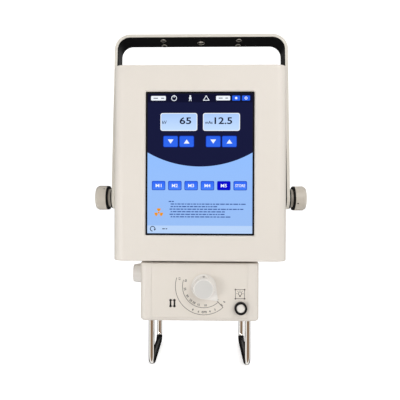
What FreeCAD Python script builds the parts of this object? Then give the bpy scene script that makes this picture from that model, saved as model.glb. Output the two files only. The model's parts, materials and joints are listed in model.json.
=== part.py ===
import FreeCAD, Part
import math
import os
from FreeCAD import Vector

# Portable x-ray head: a touch-screen generator body held in a tilting U-shaped
# yoke, with a light-beam collimator and two guard bars under it.
# Millimetres. X to the right, Y to the back, Z up. The origin lies on the
# surface that the guard bars stand on, under the middle of the whole object.

# Generator body
body_width = 264.0
body_depth = 200.0
body_bottom = 167.6
body_top = 464.4
body_corner = 16.0
body_edge = 2.0
wall = 3.0
cover_seam = 40.0

# Screen, 10.4 inch portrait panel
screen_width = 158.4
screen_height = 211.2
screen_middle = 315.3
glass_border = 3.0
window_bevel = 1.5
window_corner = 1.5
glass_set_back = 1.4
glass_thickness = 3.0
lcd_half_width = 89.5
lcd_half_height = 117.0
lcd_depth = 8.0
bracket_front = -86.0
bracket_thickness = 2.0
bracket_half_width = 102.0
bracket_half_height = 122.0
board_front = -80.0
board_thickness = 1.6
board_half_width = 70.0
board_half_height = 90.0
chip_side = 22.0

# Chassis, tank and x-ray tube
chassis_half = 120.0
chassis_front = -68.0
chassis_back = 12.0
chassis_sheet = 3.0
chassis_top = 400.0
cable_hole = 14.0
tank_half = 75.0
tank_front = -70.0
tank_back = 30.0
tank_bottom = 178.0
tank_top = 290.0
tank_wall = 4.0
tank_corner = 6.0
port_radius = 22.0
tube_z = 234.0
tube_half = 52.0
tube_radius = 21.0
tube_glass = 2.0
anode_radius = 11.0
cathode_radius = 8.0
target_angle = 70.0
inverter_z = 306.0
heat_sink_z = 312.0
heat_sink_top = 338.0
fin_pitch = 8.0
fin_thickness = 2.0
fin_count = 7
can_radius = 15.0
can_top = 352.0

# Yoke
yoke_width = 38.0
yoke_thickness = 5.0
yoke_half = 151.5
yoke_reach = 287.2
yoke_bend = 27.0
yoke_lean = 5.0
liner_thickness = 1.5
pivot_height = 263.7
stand_hole_x = 67.0
stand_hole_y = 10.0
stand_hole = 3.5
centre_hole = 5.0

# Pivot stack, distances from the middle plane
boss_radius = 20.0
stud_start = 113.0
stud_end = 173.0
washer_radius = 18.5
outer_washer_radius = 18.0
hub_radius = 15.5
core_radius = 12.0
set_screw_x = 165.2
set_screw_radius = 1.5
set_screw_turn = {"left": 43.0, "right": 116.0}
boss_end = 141.7
washer_end = 144.7
outer_washer_end = 154.0
hub_start = 154.3
hub_end = 158.5
ring_end = 161.5
knob_end = 180.0
knob_radius = 21.0
stud_radius = 5.0

# Collimator
collimator_half = 91.0
collimator_front = -92.0
collimator_back = 52.0
collimator_bottom = 75.0
collimator_top = 164.1
collimator_corner = 9.0
beam_y = -20.0
base_height = 8.0
base_edge = 5.0
neck_radius = 34.0
bearing_radius = 46.0
bearing_height = 1.6
beam_bore = 28.0
neck_bottom = 150.0
retainer_radius = 42.0
retainer_height = 4.0
exit_half = 40.0
window_overlap = 3.0
window_thickness = 2.0
frame_low = 96.2
frame_high = 98.8
mirror_z = 128.0
lamp_board_x = 62.0
panel_half = 73.5
panel_depth = 0.8
panel_low = 80.5
panel_top_margin = 1.8

# Field dials, rack drive and shutter leaves
dial_x = 6.5
dial_z = 128.4
side_dial_y = -17.0
side_dial_z = 135.7
skirt_radius = 18.8
skirt_height = 2.0
grip_base = 17.2
grip_radius = 14.6
dial_height = 21.5
pointer_reach = 30.0
pointer_angle = -45.0
spindle_radius = 4.0
pitch_radius = 9.0
tooth_count = 12
tooth_tip = 1.2
tooth_root = 1.7
tip_half = 0.6
root_half = 1.15
x_rack_low = -76.0
x_rack_high = -70.0
y_rack_low = -85.5
y_rack_high = -79.5
rack_back = 14.6
rack_spare = 8.0
leaf_travel = 24.0
leaf_start = 3.0
leaf_thickness = 3.0
leaf_half = 30.0
leaf_reach = 60.0
leaf_length = 40.0
tab_width = 9.0
x_leaf_low = 100.0
y_leaf_low = 92.0
nose_radius = 1.2

# Lamp button
button_x = 62.7
button_z = 96.2
button_radius = 6.6
button_reach = 4.5
bezel_radius = 9.65
bezel_reach = 6.0
bezel_hole = 8.5
barrel_radius = 8.4
barrel_depth = 4.0
plunger_radius = 3.0

# Guard bars
guard_x = 74.5
guard_front = -80.0
guard_back = 40.0
guard_bend = 14.0
guard_radius = 4.5
guard_top = 86.0
sleeve_wall = 0.75
sleeve_turn = 60.0
nut_radius = 7.5
nut_height = 5.0

# Back of the body
screw_x = 108.0
screw_heights = (181.0, 451.0)
screw_radius = 2.0
screw_head = 4.0
head_recess = 1.8
post_radius = 6.0
post_front = 14.0
vent_count = 7
vent_pitch = 9.0
vent_half = 55.0
vent_start = 246.0
vent_opening = 3.0
fan_height = 400.0
fan_radius = 36.0
fan_half = 40.0
fan_front = 72.0
fan_bore = 37.5
blade_count = 7
blade_reach = 35.5
blade_half_width = 8.5
blade_angle = 38.0
grille_height = 1.6
grille_radius = 41.0
foot_x = 96.0
foot_heights = (215.0, 425.0)
foot_radius = 10.0
foot_tip = 8.5
foot_height = 13.5
flange_height = 2.0
inlet_x = -50.0
inlet_half = (16.0, 12.0)
inlet_bore = (13.5, 9.5)
rocker_x = 22.0
rocker_half = (13.0, 9.0)
socket_x = 70.0
socket_radius = 9.0
connector_z = 196.0
shell_gap = 0.2
rocker_tilt = 7.0
rocker_pin_y = 96.0
rocker_pin = 1.2

# Clearances
moving_gap = 0.3
fixed_gap = 0.05
panel_gap = 0.35

# Worked out from the sizes above
x_axis = Vector(1, 0, 0)
y_axis = Vector(0, 1, 0)
z_axis = Vector(0, 0, 1)
directions = {"x": x_axis, "y": y_axis, "z": z_axis}
sides = {"left": -1, "right": 1}
half_body = body_width / 2
body_front = -body_depth / 2
body_back = body_depth / 2
back_inside = body_back - wall
glass_back = body_front + glass_set_back + glass_thickness
guard_axis_z = guard_radius + sleeve_wall
module_pitch = 2 * math.pi * pitch_radius / tooth_count


def box(x_low, x_high, y_low, y_high, z_low, z_high):
    size = (x_high - x_low, y_high - y_low, z_high - z_low)
    return Part.makeBox(*size, Vector(x_low, y_low, z_low))


def place(axis, along, across):
    if axis == "x":
        return Vector(along, across[0], across[1])
    if axis == "y":
        return Vector(across[0], along, across[1])
    return Vector(across[0], across[1], along)


def bar(axis, low, high, across, radius):
    return Part.makeCylinder(radius, high - low, place(axis, low, across), directions[axis])


def cone(axis, low, high, across, low_radius, high_radius):
    return Part.makeCone(low_radius, high_radius, high - low, place(axis, low, across), directions[axis])


def tube(axis, low, high, across, outer, inner):
    return bar(axis, low, high, across, outer).cut(bar(axis, low, high, across, inner))


def join(pieces):
    whole = pieces[0].fuse(pieces[1:])
    return whole.removeSplitter()


def group(pieces):
    return Part.makeCompound(pieces)


def mirror_x(shape):
    return shape.mirror(Vector(0, 0, 0), x_axis)


def edges_along(shape, axis):
    chosen = []
    for edge in shape.Edges:
        direction = edge.tangentAt(edge.FirstParameter)
        if abs(direction.dot(directions[axis])) > 0.999 and len(edge.Vertexes) == 2:
            chosen.append(edge)
    return chosen


def soft_box(limits, radius, axis):
    block = box(*limits)
    return block.makeFillet(radius, edges_along(block, axis))


def prism(points, direction):
    outline = Part.makePolygon(points + [points[0]])
    return Part.Face(outline).extrude(direction)


# Covers

def body_block(inset, corner):
    limits = (-half_body + inset, half_body - inset, body_front + inset, body_back - inset,
              body_bottom + inset, body_top - inset)
    return soft_box(limits, corner, "z")


def body_shell():
    outer = body_block(0, body_corner)
    rim = [edge for edge in outer.Edges if edge.BoundBox.ZLength < 0.01]
    outer = outer.makeFillet(body_edge, rim)
    return outer.cut(body_block(wall, body_corner - wall))


def window_cut():
    half_width = screen_width / 2 + glass_border
    half_height = screen_height / 2 + glass_border
    limits = (-half_width, half_width, body_front - 1, body_front + wall + 1,
              screen_middle - half_height, screen_middle + half_height)
    opening = soft_box(limits, window_corner, "y")
    wires = []
    for grow, y in ((window_bevel, body_front), (0, body_front + window_bevel)):
        ring = [Vector(x * (half_width + grow), y, screen_middle + z * (half_height + grow))
                for x, z in ((-1, -1), (1, -1), (1, 1), (-1, 1))]
        wires.append(Part.makePolygon(ring + [ring[0]]))
    return opening.fuse(Part.makeLoft(wires, True))


def cover_block(x_side, height):
    at_top = height > pivot_height
    low = height - post_radius if at_top else body_bottom + wall
    high = body_top - wall if at_top else height + post_radius
    middle = x_side * screw_x
    return box(middle - post_radius, middle + post_radius, post_front, cover_seam, low, high)


def screw_places():
    return [(x_side * screw_x, height) for x_side in (-1, 1) for height in screw_heights]


def front_cover():
    keep = box(-half_body, half_body, body_front, cover_seam, body_bottom, body_top)
    cover = body_shell().common(keep)
    cover = cover.cut(window_cut())
    blocks = [cover_block(side, height) for side in (-1, 1) for height in screw_heights]
    cover = join([cover] + blocks)
    cover = cover.cut(bar("z", body_bottom - 1, body_bottom + wall + 1, (0, beam_y), neck_radius + fixed_gap))
    cover = cover.cut(bar("x", -half_body - 1, half_body + 1, (0, pivot_height), stud_radius + fixed_gap))
    for spot in screw_places():
        cover = cover.cut(bar("y", post_front + 6, cover_seam + 1, spot, screw_radius))
    return cover


def back_opening(x, half):
    return port_box(x, half, back_inside - 1, body_back + 1)


def rear_cover():
    keep = box(-half_body, half_body, cover_seam, body_back, body_bottom, body_top)
    cover = body_shell().common(keep)
    posts = [bar("y", cover_seam, back_inside, spot, post_radius) for spot in screw_places()]
    cover = join([cover] + posts)
    for spot in screw_places():
        cover = cover.cut(bar("y", cover_seam - 1, body_back + 1, spot, screw_radius + fixed_gap))
        cover = cover.cut(bar("y", body_back - head_recess, body_back + 1, spot, screw_head + 0.2))
    cover = cover.cut(bar("y", back_inside - 1, body_back + 1, (0, fan_height), fan_radius))
    for index in range(vent_count):
        low = vent_start + index * vent_pitch
        limits = (-vent_half, vent_half, back_inside - 1, body_back + 1, low, low + vent_opening)
        cover = cover.cut(soft_box(limits, 1.4, "y"))
    cover = cover.cut(back_opening(inlet_x, inlet_half))
    cover = cover.cut(back_opening(rocker_x, rocker_half))
    return cover.cut(bar("y", back_inside - 1, body_back + 1, (socket_x, connector_z), socket_radius))


def cover_screws():
    screws = []
    for spot in screw_places():
        head = bar("y", body_back - head_recess + fixed_gap, body_back - 0.2, spot, screw_head)
        slot = box(spot[0] - 3, spot[0] + 3, body_back - 0.9, body_back, spot[1] - 0.5, spot[1] + 0.5)
        shank = bar("y", post_front + 10, body_back - head_recess + 0.1, spot, screw_radius - fixed_gap)
        screws.append(join([head.cut(slot), shank]))
    return group(screws)


def rear_feet():
    feet = []
    for x in (-foot_x, foot_x):
        for height in foot_heights:
            pad = cone("y", body_back, body_back + foot_height, (x, height), foot_radius, foot_tip)
            tip = [edge for edge in pad.Edges if edge.BoundBox.YMin > body_back + foot_height - 0.1]
            feet.append(pad.makeFillet(1.2, tip))
    return group(feet)


# Screen stack

def touch_glass():
    half_width = screen_width / 2 + glass_border - moving_gap / 2
    half_height = screen_height / 2 + glass_border - moving_gap / 2
    limits = (-half_width, half_width, glass_back - glass_thickness, glass_back,
              screen_middle - half_height, screen_middle + half_height)
    return soft_box(limits, window_corner - 0.1, "y")


def lcd_panel():
    back = glass_back + lcd_depth
    case = box(-lcd_half_width, lcd_half_width, glass_back, back,
               screen_middle - lcd_half_height, screen_middle + lcd_half_height)
    ribs = [box(-60, 60, back, back + 0.6, height, height + 12)
            for height in (screen_middle - 80, screen_middle + 60)]
    return join([case] + ribs)


def screen_bracket():
    back = bracket_front + bracket_thickness
    plate = box(-bracket_half_width, bracket_half_width, bracket_front, back,
                screen_middle - bracket_half_height, screen_middle + bracket_half_height)
    plate = plate.cut(box(-50, 50, bracket_front - 1, back + 1, screen_middle - 70, screen_middle + 70))
    post_x = bracket_half_width - post_radius
    post_z = bracket_half_height - 8
    posts = [bar("y", body_front + wall, bracket_front, (x, screen_middle + z), 4)
             for x in (-post_x, post_x) for z in (-post_z, post_z)]
    pads = [bar("y", back, board_front, (x, screen_middle + z), 3) for x in (-60, 60) for z in (-80, 80)]
    return join([plate] + posts + pads)


def control_board():
    face = board_front + board_thickness
    board = box(-board_half_width, board_half_width, board_front, face,
                screen_middle - board_half_height, screen_middle + board_half_height)
    chips = [box(x, x + chip_side, face, face + 2.8, z, z + chip_side)
             for x in (-50, 0, 34) for z in (250, 330, 370)]
    plug = box(-60, -20, face, face + 5.9, 395, 402)
    return join([board] + chips + [plug])


# Chassis and high-voltage parts

def chassis_frame():
    low = body_bottom + wall
    floor = box(-chassis_half, chassis_half, chassis_front, chassis_back, low, low + chassis_sheet)
    floor = floor.cut(bar("z", body_bottom, low + 6, (0, beam_y), neck_radius + fixed_gap))
    walls = [box(x, x + chassis_sheet, chassis_front, chassis_back, low, chassis_top)
             for x in (-chassis_half, chassis_half - chassis_sheet)]
    frame = join([floor] + walls)
    bores = [bar("x", -chassis_half - 1, chassis_half + 1, (0, pivot_height), stud_radius + fixed_gap)]
    for height in (320, 360):
        bores.append(bar("x", -chassis_half - 1, chassis_half + 1, (-28, height), cable_hole))
    return frame.cut(bores)


def tank_block(low, high):
    return soft_box((-tank_half, tank_half, tank_front, tank_back, low, high), tank_corner, "z")


def tank_housing():
    hollow = box(-tank_half + tank_wall, tank_half - tank_wall, tank_front + tank_wall, tank_back - tank_wall,
                 tank_bottom + tank_wall, tank_top + 1)
    port = bar("z", tank_bottom - 1, tank_bottom + tank_wall + 1, (0, beam_y), port_radius)
    return tank_block(tank_bottom, tank_top).cut(hollow).cut(port)


def tank_lid():
    top = tank_top + tank_wall
    bushings = [bar("z", top, top + 6, (x, 14), 5) for x in (-50, 50)]
    return join([tank_block(tank_top, top)] + bushings)


def tube_envelope():
    glass = bar("x", -tube_half, tube_half, (beam_y, tube_z), tube_radius)
    ends = [edge for edge in glass.Edges if edge.BoundBox.XLength < 0.01]
    glass = glass.makeFillet(6, ends)
    inside_half = tube_half - tube_glass
    return glass.cut(bar("x", -inside_half, inside_half, (beam_y, tube_z), tube_radius - tube_glass))


def tube_electrodes():
    end = tube_half - tube_glass - 1
    anode = bar("x", -end, -4, (beam_y, tube_z), anode_radius)
    bevel = box(-16, 12, beam_y - 20, beam_y + 20, -30, 0)
    bevel.rotate(Vector(-4, beam_y, 0), y_axis, -target_angle)
    bevel.translate(Vector(0, 0, tube_z - anode_radius))
    cathode = bar("x", 22, end, (beam_y, tube_z), cathode_radius)
    filament_cup = bar("x", 16, 22, (beam_y, tube_z), 5)
    return group([anode.cut(bevel), cathode.fuse(filament_cup)])


def hv_transformer():
    core = box(-45, 45, -46, 6, 262, 286)
    coil = soft_box((-28, 28, -52, 12, 259, 289), 5, "x")
    return join([core, coil])


def inverter_board():
    top = inverter_z + board_thickness
    board = box(-90, 90, -60, 26, inverter_z, top)
    legs = [bar("z", tank_top + tank_wall, inverter_z, (x, y), 3.5) for x in (-68, 68) for y in (-56, -40)]
    base = box(30, 84, -50, 20, top, heat_sink_z)
    fins = []
    for index in range(fin_count):
        x = 31 + fin_pitch * index
        fins.append(box(x, x + fin_thickness, -50, 20, heat_sink_z, heat_sink_top))
    return join([board, base] + legs + fins)


def capacitor_bank():
    cans = []
    for x in (-70, -36, -2):
        can = bar("z", inverter_z + board_thickness, can_top, (x, beam_y), can_radius)
        top = [edge for edge in can.Edges if edge.BoundBox.ZMin > can_top - 1]
        cans.append(can.makeFillet(1.5, top))
    return group(cans)


# Fan and connectors on the back

def fan_frame():
    middle = (0, fan_height)
    limits = (-fan_half, fan_half, fan_front, back_inside, fan_height - fan_half, fan_height + fan_half)
    frame = soft_box(limits, 4, "y").cut(bar("y", fan_front - 1, back_inside + 1, middle, fan_bore))
    hub = bar("y", fan_front, fan_front + 4, middle, 14)
    arms = []
    for index in range(3):
        arm = box(10, fan_half - 1, fan_front, fan_front + 2.5, fan_height - 2, fan_height + 2)
        arm.rotate(Vector(0, 0, fan_height), y_axis, 90 + 120 * index)
        arms.append(arm)
    return join([frame, hub] + arms)


def fan_rotor():
    hub = bar("y", fan_front + 4.6, fan_front + 21, (0, fan_height), 15)
    blades = []
    for index in range(blade_count):
        blade = box(12, blade_reach, -blade_half_width, blade_half_width, -0.9, 0.9)
        blade.rotate(Vector(0, 0, 0), x_axis, blade_angle)
        blade.rotate(Vector(0, 0, 0), y_axis, 360.0 / blade_count * index)
        blade.translate(Vector(0, fan_front + 13, fan_height))
        blades.append(blade)
    return join([hub] + blades)


def fan_grille():
    middle = (0, fan_height)
    outer = body_back + grille_height
    rings = [tube("y", body_back, outer, middle, radius, radius - 2) for radius in (16, 24, 32)]
    rings.append(tube("y", body_back, outer, middle, grille_radius, fan_radius + 0.5))
    rings.append(bar("y", body_back, outer, middle, 8))
    reach = grille_radius - 2
    for index in range(4):
        spoke = box(-reach, reach, body_back, outer, fan_height - 1.2, fan_height + 1.2)
        spoke.rotate(Vector(0, 0, fan_height), y_axis, 22.5 + 45 * index)
        rings.append(spoke)
    return join(rings)


def port_box(x, half, front, back):
    """Block centred on a connector, half its width and half its height given as a pair."""
    return box(x - half[0], x + half[0], front, back, connector_z - half[1], connector_z + half[1])


def rounded_port(x, half, front, back, corner):
    block = port_box(x, half, front, back)
    return block.makeFillet(corner, edges_along(block, "y"))


def power_inlet():
    flange = rounded_port(inlet_x, (25, 14), body_back, body_back + flange_height, 3)
    shell = port_box(inlet_x, (inlet_half[0] - shell_gap, inlet_half[1] - shell_gap), 80, body_back)
    cavity = rounded_port(inlet_x, inlet_bore, 84, body_back + 3, 3)
    inlet = join([flange, shell]).cut(cavity)
    pins = []
    for x, z in ((-7, -1), (0, 3), (7, -1)):
        pins.append(box(inlet_x + x - 1, inlet_x + x + 1, 83, 98, connector_z + z - 2, connector_z + z + 2))
    return join([inlet] + pins)


def switch_frame():
    flange = rounded_port(rocker_x, (16, 12), body_back, body_back + flange_height, 2)
    shell = port_box(rocker_x, (rocker_half[0] - shell_gap, rocker_half[1] - shell_gap), 82, body_back)
    hollow = port_box(rocker_x, (10.5, 7), 86, body_back + 3)
    pin_hole = bar("z", connector_z - 8.3, connector_z + 8.3, (rocker_x, rocker_pin_y), rocker_pin + 0.15)
    return join([flange, shell]).cut(hollow).cut(pin_hole)


def power_rocker():
    # The paddle rocks about a pin along Z and rests with its left half pressed.
    points = [Vector(rocker_x - 9, body_back + 2.4, 0), Vector(rocker_x, body_back + 0.6, 0),
              Vector(rocker_x + 9, body_back + 2.4, 0), Vector(rocker_x + 8, 94, 0),
              Vector(rocker_x, 90, 0), Vector(rocker_x - 8, 94, 0)]
    paddle = prism(points, Vector(0, 0, 13))
    paddle.translate(Vector(0, 0, connector_z - 6.5))
    paddle.rotate(Vector(rocker_x, rocker_pin_y, connector_z), z_axis, rocker_tilt)
    pin = bar("z", connector_z - 8, connector_z + 8, (rocker_x, rocker_pin_y), rocker_pin)
    return join([paddle, pin])


def handswitch_socket():
    middle = (socket_x, connector_z)
    flange = bar("y", body_back, body_back + 2.5, middle, 13)
    ring = tube("y", body_back + 2.5, body_back + 6, middle, 9.5, 7.5)
    inner = bar("y", 80, body_back + 3, middle, 7.4)
    barrel = bar("y", 84, body_back, middle, socket_radius - 0.1)
    socket = join([flange, ring, inner.fuse(barrel)])
    for index in range(5):
        angle = math.radians(72 * index + 90)
        pin = (socket_x + 4 * math.cos(angle), connector_z + 4 * math.sin(angle))
        socket = socket.cut(bar("y", body_back - 3, body_back + 4, pin, 0.8))
    return socket


# Pivot stack between body and yoke

def both_sides(shape):
    return group([shape, mirror_x(shape)])


def pivot_bosses():
    boss = tube("x", half_body, boss_end, (0, pivot_height), boss_radius, stud_radius + fixed_gap)
    rim = [edge for edge in boss.Edges
           if edge.BoundBox.XMin > boss_end - 0.1 and edge.BoundBox.ZLength > boss_radius]
    return both_sides(boss.makeFillet(1.0, rim))


def pivot_studs():
    flange = bar("x", chassis_half, chassis_half + 4, (0, pivot_height), 2 * stud_radius)
    shank = bar("x", stud_start, stud_end, (0, pivot_height), stud_radius)
    return both_sides(join([flange, shank]))


def friction_washers():
    washer = tube("x", boss_end, washer_end, (0, pivot_height), washer_radius, stud_radius + fixed_gap)
    return both_sides(washer)


# Yoke, drawn upright and then leaned back about the pivot

def lean(shape):
    shape.rotate(Vector(0, 0, pivot_height), x_axis, -yoke_lean)
    return shape


def top_edges(shape, top):
    return [edge for edge in edges_along(shape, "y") if edge.BoundBox.ZMin > top - 0.1]


def arch(outer_half, outer_top, thickness, bend, width):
    """U-shaped flat bar with half-round ends about the pivot."""
    low = pivot_height - width / 2
    inner_half = outer_half - thickness
    outer = box(-outer_half, outer_half, -width / 2, width / 2, low, outer_top)
    inner = box(-inner_half, inner_half, -width, width, low - 100, outer_top - thickness)
    outer = outer.makeFillet(bend, top_edges(outer, outer_top))
    inner = inner.makeFillet(bend - thickness, top_edges(inner, outer_top - thickness))
    shape = outer.cut(inner)
    keep = box(-outer_half, outer_half, -width / 2, width / 2, pivot_height, outer_top)
    keep = keep.fuse(bar("x", -outer_half, outer_half, (0, pivot_height), width / 2))
    return shape.common(keep)


def drill_yoke(shape):
    shape = shape.cut(bar("x", -200, 200, (0, pivot_height), stud_radius + moving_gap))
    top = pivot_height + yoke_reach
    shape = shape.cut(bar("z", top - 20, top + 20, (0, 0), centre_hole))
    for x in (-stand_hole_x, stand_hole_x):
        for y in (-stand_hole_y, stand_hole_y):
            shape = shape.cut(bar("z", top - 20, top + 20, (x, y), stand_hole))
    return shape


def yoke_bar():
    shape = arch(yoke_half, pivot_height + yoke_reach, yoke_thickness, yoke_bend, yoke_width)
    return lean(drill_yoke(shape))


def yoke_liner():
    outer_half = yoke_half - yoke_thickness
    top = pivot_height + yoke_reach - yoke_thickness
    shape = arch(outer_half, top, liner_thickness, yoke_bend - yoke_thickness, yoke_width - 2)
    return lean(drill_yoke(shape))


def yoke_washers():
    washer = tube("x", yoke_half, outer_washer_end, (0, pivot_height), outer_washer_radius,
                  stud_radius + moving_gap)
    return both_sides(washer)


# Clamp knobs; the set screw sits in a radial hole near the inner end

def set_screw_bar(side, start, end, radius):
    hole = bar("z", start, end, (set_screw_x, 0), radius)
    hole.rotate(Vector(0, 0, 0), x_axis, set_screw_turn[side])
    hole.translate(Vector(0, 0, pivot_height))
    return hole


def clamp_knob(side):
    middle = (0, pivot_height)
    neck = bar("x", hub_start, hub_end, middle, hub_radius)
    core = bar("x", hub_end, ring_end, middle, core_radius)
    grip = bar("x", ring_end, knob_end - 4, middle, knob_radius)
    cap = cone("x", knob_end - 4, knob_end, middle, knob_radius, knob_radius - 2.5)
    rim = [edge for edge in cap.Edges if edge.BoundBox.XMin > knob_end - 0.1]
    knob = join([neck, core, grip, cap.makeFillet(1.0, rim)])
    knob = knob.cut(bar("x", hub_start - 1, stud_end + 1, middle, stud_radius + moving_gap))
    knob = knob.cut(set_screw_bar(side, 8, knob_radius + 2, set_screw_radius))
    return knob if side == "right" else mirror_x(knob)


def knob_ring(side):
    ring = tube("x", hub_end, ring_end, (0, pivot_height), knob_radius - 0.4, core_radius + fixed_gap)
    return ring if side == "right" else mirror_x(ring)


def set_screw(side):
    screw = set_screw_bar(side, 8.5, knob_radius - 1.0, set_screw_radius - fixed_gap)
    return screw if side == "right" else mirror_x(screw)


# Swivel joint between body and collimator

def port_flange():
    neck = bar("z", neck_bottom, tank_bottom, (0, beam_y), neck_radius)
    low = collimator_top + bearing_height + moving_gap
    flange = bar("z", low, body_bottom, (0, beam_y), bearing_radius)
    return join([neck, flange]).cut(bar("z", neck_bottom - 1, tank_bottom + 1, (0, beam_y), beam_bore))


def retaining_ring():
    top = collimator_top - wall - 0.4
    return tube("z", top - retainer_height, top, (0, beam_y), retainer_radius, neck_radius + fixed_gap)


def swivel_bearing():
    top = collimator_top + bearing_height
    return tube("z", collimator_top, top, (0, beam_y), bearing_radius, neck_radius + 0.4)


# Collimator case

def collimator_block(inset, low, high, corner):
    limits = (-collimator_half + inset, collimator_half - inset, collimator_front + inset,
              collimator_back - inset, low, high)
    return soft_box(limits, corner, "z")


def panel_block(margin, back):
    limits = (-panel_half - margin, panel_half + margin, collimator_front, collimator_front + back,
              panel_low - margin, collimator_top - panel_top_margin + margin)
    return soft_box(limits, 1.5, "y")


def collimator_housing():
    outer = collimator_block(0, collimator_bottom + base_height, collimator_top, collimator_corner)
    rim = [edge for edge in outer.Edges
           if edge.BoundBox.ZLength < 0.01 and edge.BoundBox.ZMin > collimator_top - 1]
    outer = outer.makeFillet(1.5, rim)
    inner = collimator_block(wall, collimator_bottom, collimator_top - wall, collimator_corner - wall)
    case = outer.cut(inner)
    case = case.cut(panel_block(panel_gap, panel_depth))
    case = case.cut(bar("z", collimator_top - wall - 1, collimator_top + 1, (0, beam_y), neck_radius + 0.4))
    case = case.cut(bar("y", collimator_front - 1, collimator_front + wall + 1, (dial_x, dial_z),
                        spindle_radius + moving_gap))
    case = case.cut(bar("x", -collimator_half - 1, -collimator_half + wall + 1, (side_dial_y, side_dial_z),
                        spindle_radius + moving_gap))
    return case.cut(bar("y", collimator_front - 1, collimator_front + wall + 1, (button_x, button_z), bezel_hole))


def collimator_base():
    plate = collimator_block(0, collimator_bottom, collimator_bottom + base_height, collimator_corner)
    rim = [edge for edge in plate.Edges
           if edge.BoundBox.ZLength < 0.01 and edge.BoundBox.ZMax < collimator_bottom + 1]
    plate = plate.makeFillet(base_edge, rim)
    plate = plate.cut(collimator_block(wall, collimator_bottom + wall, collimator_bottom + base_height + 1,
                                       collimator_corner - wall))
    plate = plate.cut(panel_block(panel_gap, panel_depth))
    plate = plate.cut(box(-exit_half, exit_half, beam_y - exit_half, beam_y + exit_half,
                          collimator_bottom - 1, collimator_bottom + wall + 1))
    for x in (-guard_x, guard_x):
        for y in (guard_front, guard_back):
            plate = plate.cut(bar("z", collimator_bottom - 1, collimator_bottom + wall + 1, (x, y),
                                  guard_radius + fixed_gap))
    return plate


def front_panel():
    panel = panel_block(0, panel_depth)
    panel = panel.cut(bar("y", collimator_front - 1, collimator_front + 2, (dial_x, dial_z),
                          spindle_radius + moving_gap))
    return panel.cut(bar("y", collimator_front - 1, collimator_front + 2, (button_x, button_z), bezel_hole))


def exit_window():
    low = collimator_bottom + wall
    half = exit_half + window_overlap
    return box(-half, half, beam_y - half, beam_y + half, low, low + window_thickness)


def beam_mirror():
    plate = box(-24, 24, beam_y - 30, beam_y + 30, mirror_z - 0.8, mirror_z + 0.8)
    plate.rotate(Vector(0, beam_y, mirror_z), y_axis, -45)
    return plate


def lamp_board():
    back = lamp_board_x + board_thickness
    board = box(lamp_board_x, back, beam_y - 25, beam_y + 25, 106, 150)
    lamp = bar("x", lamp_board_x - 5, lamp_board_x, (beam_y, mirror_z), 7)
    lens = cone("x", lamp_board_x - 9, lamp_board_x - 5, (beam_y, mirror_z), 4.5, 6.5)
    sink = []
    for index in range(7):
        y = beam_y - 18 + 6 * index
        sink.append(box(back, back + 8.4, y, y + fin_thickness, 112, 146))
    foot = box(back, collimator_half - wall, beam_y - 20, beam_y + 20, 106, 108)
    return join([board, lamp, lens, foot] + sink)


def shutter_frame():
    plate = box(-leaf_reach, leaf_reach, beam_y - 42, beam_y + 42, frame_low, frame_high)
    plate = plate.cut(box(-leaf_half, leaf_half, beam_y - leaf_half, beam_y + leaf_half,
                          frame_low - 1, frame_high + 1))
    legs = [bar("z", collimator_bottom + wall, frame_low, (x, y), 3) for x in (-50, 50) for y in (-45, 8)]
    return join([plate] + legs)


# Rack drive: pitch_radius times the dial's turn is the leaf's travel

def pinion(low, high, axis, across):
    points = []
    for index in range(tooth_count):
        angle = 2 * math.pi * index / tooth_count
        outline = ((-root_half, pitch_radius - tooth_root), (-tip_half, pitch_radius + tooth_tip),
                   (tip_half, pitch_radius + tooth_tip), (root_half, pitch_radius - tooth_root))
        for sideways, outward in outline:
            u = sideways * math.cos(angle) + outward * math.sin(angle)
            v = outward * math.cos(angle) - sideways * math.sin(angle)
            points.append(place(axis, low, (across[0] + u, across[1] + v)))
    return prism(points, directions[axis] * (high - low))


def rack_outline(low, high, mesh_at, back):
    """Rack points as (distance along the travel, distance from the pinion's axis)."""
    root = pitch_radius + tooth_root
    tip = pitch_radius - tooth_tip
    points = [(high, back), (low, back), (low, root)]
    count = int((high - low) / module_pitch) + 2
    for index in range(-count, count):
        middle = mesh_at + (index + 0.5) * module_pitch
        if low + root_half < middle < high - root_half:
            points += [(middle - root_half, root), (middle - tip_half, tip),
                       (middle + tip_half, tip), (middle + root_half, root)]
    return points + [(high, root)]


def x_rack(low, high, up):
    points = [Vector(along, x_rack_low, dial_z + up * out)
              for along, out in rack_outline(low, high, dial_x, rack_back)]
    return prism(points, y_axis * (x_rack_high - x_rack_low))


def y_rack(low, high, up):
    points = [Vector(y_rack_low, along, side_dial_z + up * out)
              for along, out in rack_outline(low, high, side_dial_y, rack_back)]
    return prism(points, x_axis * (y_rack_high - y_rack_low))


def leaf_right():
    top = x_leaf_low + leaf_thickness
    plate = box(leaf_start, leaf_reach, beam_y - leaf_half, beam_y + leaf_half, x_leaf_low, top)
    tab = box(40, 52, x_rack_low - 2, beam_y - leaf_half, x_leaf_low, top)
    arm = box(40, 52, x_rack_low, x_rack_high, x_leaf_low, dial_z + rack_back)
    return join([plate, tab, arm, x_rack(dial_x - leaf_travel - rack_spare, 52, 1)])


def leaf_left():
    top = x_leaf_low + leaf_thickness
    plate = box(-leaf_reach, -leaf_start, beam_y - leaf_half, beam_y + leaf_half, x_leaf_low, top)
    tab = box(-52, -42, x_rack_low - 2, beam_y - leaf_half, x_leaf_low, top)
    arm = box(-52, -42, x_rack_low, x_rack_high, x_leaf_low, dial_z - pitch_radius - tooth_root)
    return join([plate, tab, arm, x_rack(-52, dial_x + leaf_travel + rack_spare, -1)])


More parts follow.
